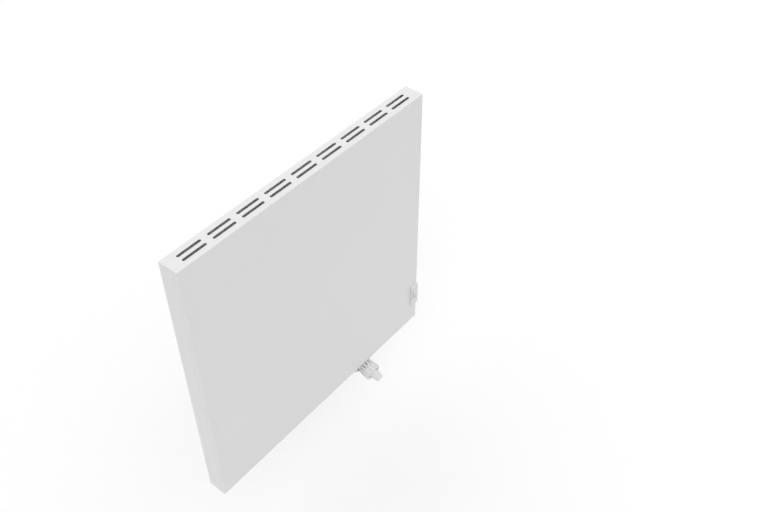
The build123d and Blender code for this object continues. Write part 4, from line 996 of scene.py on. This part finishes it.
def scalloped(radius, angle, outer):
    """Radius at an angle once the finger scallops have drawn the rim in."""
    if radius <= DISH_OUTER_R:
        return radius
    pitch = tau / RING_LOBES
    off = (angle - radians(RING_TURN) + pitch / 2) % pitch - pitch / 2
    reach = outer + SCALLOP_R - SCALLOP_DEPTH
    inside = SCALLOP_R**2 - (reach * sin(off)) ** 2
    wall = reach * cos(off) - inside**0.5 if inside > 0 else outer + SCALLOP_R
    overlap = max(SCALLOP_BLEND - abs(wall - outer), 0) / SCALLOP_BLEND
    rim = min(wall, outer) - overlap**2 * SCALLOP_BLEND / 4
    share = (radius - DISH_OUTER_R) / (outer - DISH_OUTER_R)
    return DISH_OUTER_R + share * (rim - DISH_OUTER_R)


class HEATER_OT_grip_ring(bpy.types.Operator):
    """Grip ring with rounded finger scallops and a dished front round the nose"""

    bl_idname = "heater.grip_ring"
    bl_label = "Add the grip ring"

    def execute(self, context):
        start, direction, side = shutoff_axes()
        back, front, outer = extent_along("handwheel", start, direction)
        work = lathe(ring_profile(back, front, outer), RING_STEPS)
        for vert in work.verts:
            radius = vert.co.xy.length
            if radius > 0:
                vert.co.xy *= scalloped(radius, atan2(vert.co.y, vert.co.x), outer) / radius
        across = direction.cross(side)
        place = Matrix((side, across, direction)).transposed().to_4x4()
        work.transform(Matrix.Translation(start) @ place)
        mesh = mesh_from_bmesh(work, "grip_ring")
        mesh.set_sharp_from_angle(angle=radians(RING_SHARP_ANGLE))
        mesh.materials.append(MATERIALS["moulded_abs"])
        finish_piece(link_object("grip_ring", mesh), SHUTOFF_BODY, "moulded_plastic", "handwheel")
        return {"FINISHED"}


# ---- threads inside the two outlets ----

THREAD_STEPS = 48  # in one turn
THREAD_CORNERS = 4  # of the ridge's section


def thread_tree():
    """Helical ridge inside an upright bore."""
    sockets = [
        ("Turns", "NodeSocketFloat"),
        ("Radius", "NodeSocketFloat"),
        ("Height", "NodeSocketFloat"),
        ("Ridge", "NodeSocketFloat"),
        ("Place", "NodeSocketVector"),
        ("Material", "NodeSocketMaterial"),
    ]
    tree, inputs = geometry_tree("outlet_thread", sockets)
    helix = add(
        tree,
        "GeometryNodeCurveSpiral",
        {
            "Resolution": THREAD_STEPS,
            "Rotations": inputs["Turns"],
            "Start Radius": inputs["Radius"],
            "End Radius": inputs["Radius"],
            "Height": inputs["Height"],
        },
    )
    corners = {"Resolution": THREAD_CORNERS, "Radius": inputs["Ridge"]}
    section = add(tree, "GeometryNodeCurvePrimitiveCircle", corners)
    ridge = add(
        tree,
        "GeometryNodeCurveToMesh",
        {"Curve": helix.outputs[0], "Profile Curve": section.outputs[0], "Fill Caps": True},
    )
    placed = add(
        tree, "GeometryNodeTransform", {"Geometry": ridge.outputs[0], "Translation": inputs["Place"]}
    )
    return close_tree(tree, placed.outputs[0], inputs["Material"])


class HEATER_OT_port_threads(bpy.types.Operator):
    """Inner threads of the flow and return outlets"""

    bl_idname = "heater.port_threads"
    bl_label = "Add the outlet threads"

    def execute(self, context):
        details = context.scene.heater_details
        tree = thread_tree()
        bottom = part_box("connection_block")[0].z
        mounts = {mount["name"]: mount for mount in frame["record"]["mounts"]}
        for name in ("flow_port", "return_port"):
            mount = mounts[name]
            depth = mount["dims"]["length_mm"] * MM - 2 * details.thread_pitch
            values = {
                "Turns": depth / details.thread_pitch,
                "Radius": mount["dims"]["r_mm"] * MM,
                "Height": depth,
                "Ridge": details.thread_depth,
                "Place": (mount["pos_m"][0], mount["pos_m"][1], bottom + details.thread_pitch),
                "Material": MATERIALS["nickel_plated_brass"],
            }
            piece = grow(name.replace("port", "outlet_thread"), tree, values)
            finish_piece(piece, FIXED, "nickel_plated_brass")
        return {"FINISHED"}


# ---- stage ----

WHITE = (1.0, 1.0, 1.0, 1.0)
CAMERA_AZIMUTH = -51.05  # degrees round from straight in front
CAMERA_ELEVATION = 43.94  # degrees
CAMERA_DISTANCE = 2.6128  # metres
CAMERA_TARGET = (0.1834, -0.1669, 0.0772)
CAMERA_LENS = 43.2  # millimetres, as the sensor
CAMERA_SENSOR = 36.0
FLOOR_SIDE = 40.0  # metres
TOWARDS_TOP_LIGHT = (0.0, 0.0, 1.0)
TOP_LIGHT_SPREAD = 120.0  # degrees, wide enough to leave no edge in a shadow
TOWARDS_FRONT_LIGHT = (-0.56, -0.453, 0.694)  # from the camera's side, to reach into the slots
FRONT_LIGHT_SPREAD = 30.0  # degrees
LIGHT_BOUNCES = 16
DIFFUSE_BOUNCES = 12  # the casing's white inside passes light on many times


def white_where_seen(tree):
    """1 for what the camera sees, directly, in a reflection or through glass; otherwise 0."""
    path = add(tree, "ShaderNodeLightPath").outputs
    seen = add(
        tree, "ShaderNodeMath", {0: path["Is Camera Ray"], 1: path["Is Glossy Ray"]}, operation="MAXIMUM"
    )
    both = add(
        tree, "ShaderNodeMath", {0: seen.outputs[0], 1: path["Is Transmission Ray"]}, operation="MAXIMUM"
    )
    return both.outputs[0]


def make_world(stage):
    """White surroundings that light the heater evenly."""
    world = bpy.data.worlds.new("studio_white")
    tree = empty_tree(world)
    strength = ranged(tree, white_where_seen(tree), stage.sky, 1.0)
    background = add(tree, "ShaderNodeBackground", {"Color": WHITE, "Strength": strength})
    add(tree, "ShaderNodeOutputWorld", {"Surface": background.outputs[0]})
    bpy.context.scene.world = world


def make_floor(stage):
    """Plain matt floor that looks white and still takes the heater's shadow."""
    material = bpy.data.materials.new("matt_floor")
    tree = empty_tree(material)
    paint = add(tree, "ShaderNodeBsdfDiffuse", {"Color": stage.floor})
    lift = ranged(tree, white_where_seen(tree), 0.0, stage.floor_lift)
    glow = add(tree, "ShaderNodeEmission", {"Color": WHITE, "Strength": lift})
    both = add(tree, "ShaderNodeAddShader", {0: paint.outputs[0], 1: glow.outputs[0]})
    add(tree, "ShaderNodeOutputMaterial", {"Surface": both.outputs[0]})
    work = bmesh.new()
    bmesh.ops.create_grid(work, x_segments=1, y_segments=1, size=FLOOR_SIDE / 2)
    bmesh.ops.translate(work, verts=work.verts, vec=(0, 0, CAD_BOX[0].z - stage.floor_drop))
    floor = link_object("floor", mesh_from_bmesh(work, "floor", smooth=False))
    floor.data.materials.append(material)


def make_sun(name, strength, towards, spread):
    """Soft directional light; towards is the way to it, and spread its width in degrees."""
    lamp = bpy.data.lights.new(name, "SUN")
    lamp.energy = strength
    lamp.angle = radians(spread)
    light = bpy.data.objects.new(name, lamp)
    light.rotation_euler = Vector(towards).to_track_quat("Z", "Y").to_euler()
    bpy.context.scene.collection.objects.link(light)


def make_camera():
    """Camera at the photograph's angle."""
    camera = bpy.data.objects.new("camera", bpy.data.cameras.new("camera"))
    camera.data.lens = CAMERA_LENS
    camera.data.sensor_width = CAMERA_SENSOR
    azimuth, elevation = radians(CAMERA_AZIMUTH), radians(CAMERA_ELEVATION)
    back = Vector((sin(azimuth) * cos(elevation), -cos(azimuth) * cos(elevation), sin(elevation)))
    camera.location = Vector(CAMERA_TARGET) + CAMERA_DISTANCE * back
    camera.rotation_euler = back.to_track_quat("Z", "Y").to_euler()
    bpy.context.scene.collection.objects.link(camera)
    bpy.context.scene.camera = camera


class HEATER_OT_stage(bpy.types.Operator):
    """Floor, even light and the camera"""

    bl_idname = "heater.stage"
    bl_label = "Set the stage"

    def execute(self, context):
        stage = context.scene.heater_stage
        make_world(stage)
        make_floor(stage)
        make_sun("top_light", stage.top_light, TOWARDS_TOP_LIGHT, TOP_LIGHT_SPREAD)
        make_sun("front_light", stage.front_light, TOWARDS_FRONT_LIGHT, FRONT_LIGHT_SPREAD)
        make_camera()
        context.scene.view_settings.view_transform = "Standard"
        context.scene.cycles.max_bounces = LIGHT_BOUNCES
        context.scene.cycles.diffuse_bounces = DIFFUSE_BOUNCES
        return {"FINISHED"}


# ---- panel, registration and the order of work ----

OPERATORS = (
    HEATER_OT_finishes,
    HEATER_OT_screws,
    HEATER_OT_spot_welds,
    HEATER_OT_wheel_marks,
    HEATER_OT_top_grille,
    HEATER_OT_cover_plate,
    HEATER_OT_grip_ring,
    HEATER_OT_port_threads,
    HEATER_OT_stage,
)


class HEATER_PT_sidebar(bpy.types.Panel):
    """Lists the steps and the values that can be changed"""

    bl_idname = "HEATER_PT_sidebar"
    bl_label = "Panel convector heater"
    bl_space_type = "VIEW_3D"
    bl_region_type = "UI"
    bl_category = "Heater"

    def draw(self, context):
        for operator in OPERATORS:
            self.layout.operator(operator.bl_idname)
        scene = context.scene
        for group in (scene.heater_finishes, scene.heater_details, scene.heater_stage):
            for name in group.__annotations__:
                self.layout.prop(group, name)


CLASSES = (HeaterFinishes, HeaterDetails, HeaterStage, *OPERATORS, HEATER_PT_sidebar)


def register():
    """Adds the classes and the scene's settings."""
    for cls in CLASSES:
        bpy.utils.register_class(cls)
    bpy.types.Scene.heater_finishes = PointerProperty(type=HeaterFinishes)
    bpy.types.Scene.heater_details = PointerProperty(type=HeaterDetails)
    bpy.types.Scene.heater_stage = PointerProperty(type=HeaterStage)


def unregister():
    """Takes them away again."""
    del bpy.types.Scene.heater_stage
    del bpy.types.Scene.heater_details
    del bpy.types.Scene.heater_finishes
    for cls in reversed(CLASSES):
        bpy.utils.unregister_class(cls)


def main():
    """Runs every step."""
    register()
    bpy.ops.heater.finishes()
    bpy.ops.heater.screws()
    bpy.ops.heater.spot_welds()
    bpy.ops.heater.wheel_marks()
    bpy.ops.heater.top_grille()
    bpy.ops.heater.cover_plate()
    bpy.ops.heater.grip_ring()
    bpy.ops.heater.port_threads()
    bpy.ops.heater.stage()


if __name__ == "__main__":
    main()
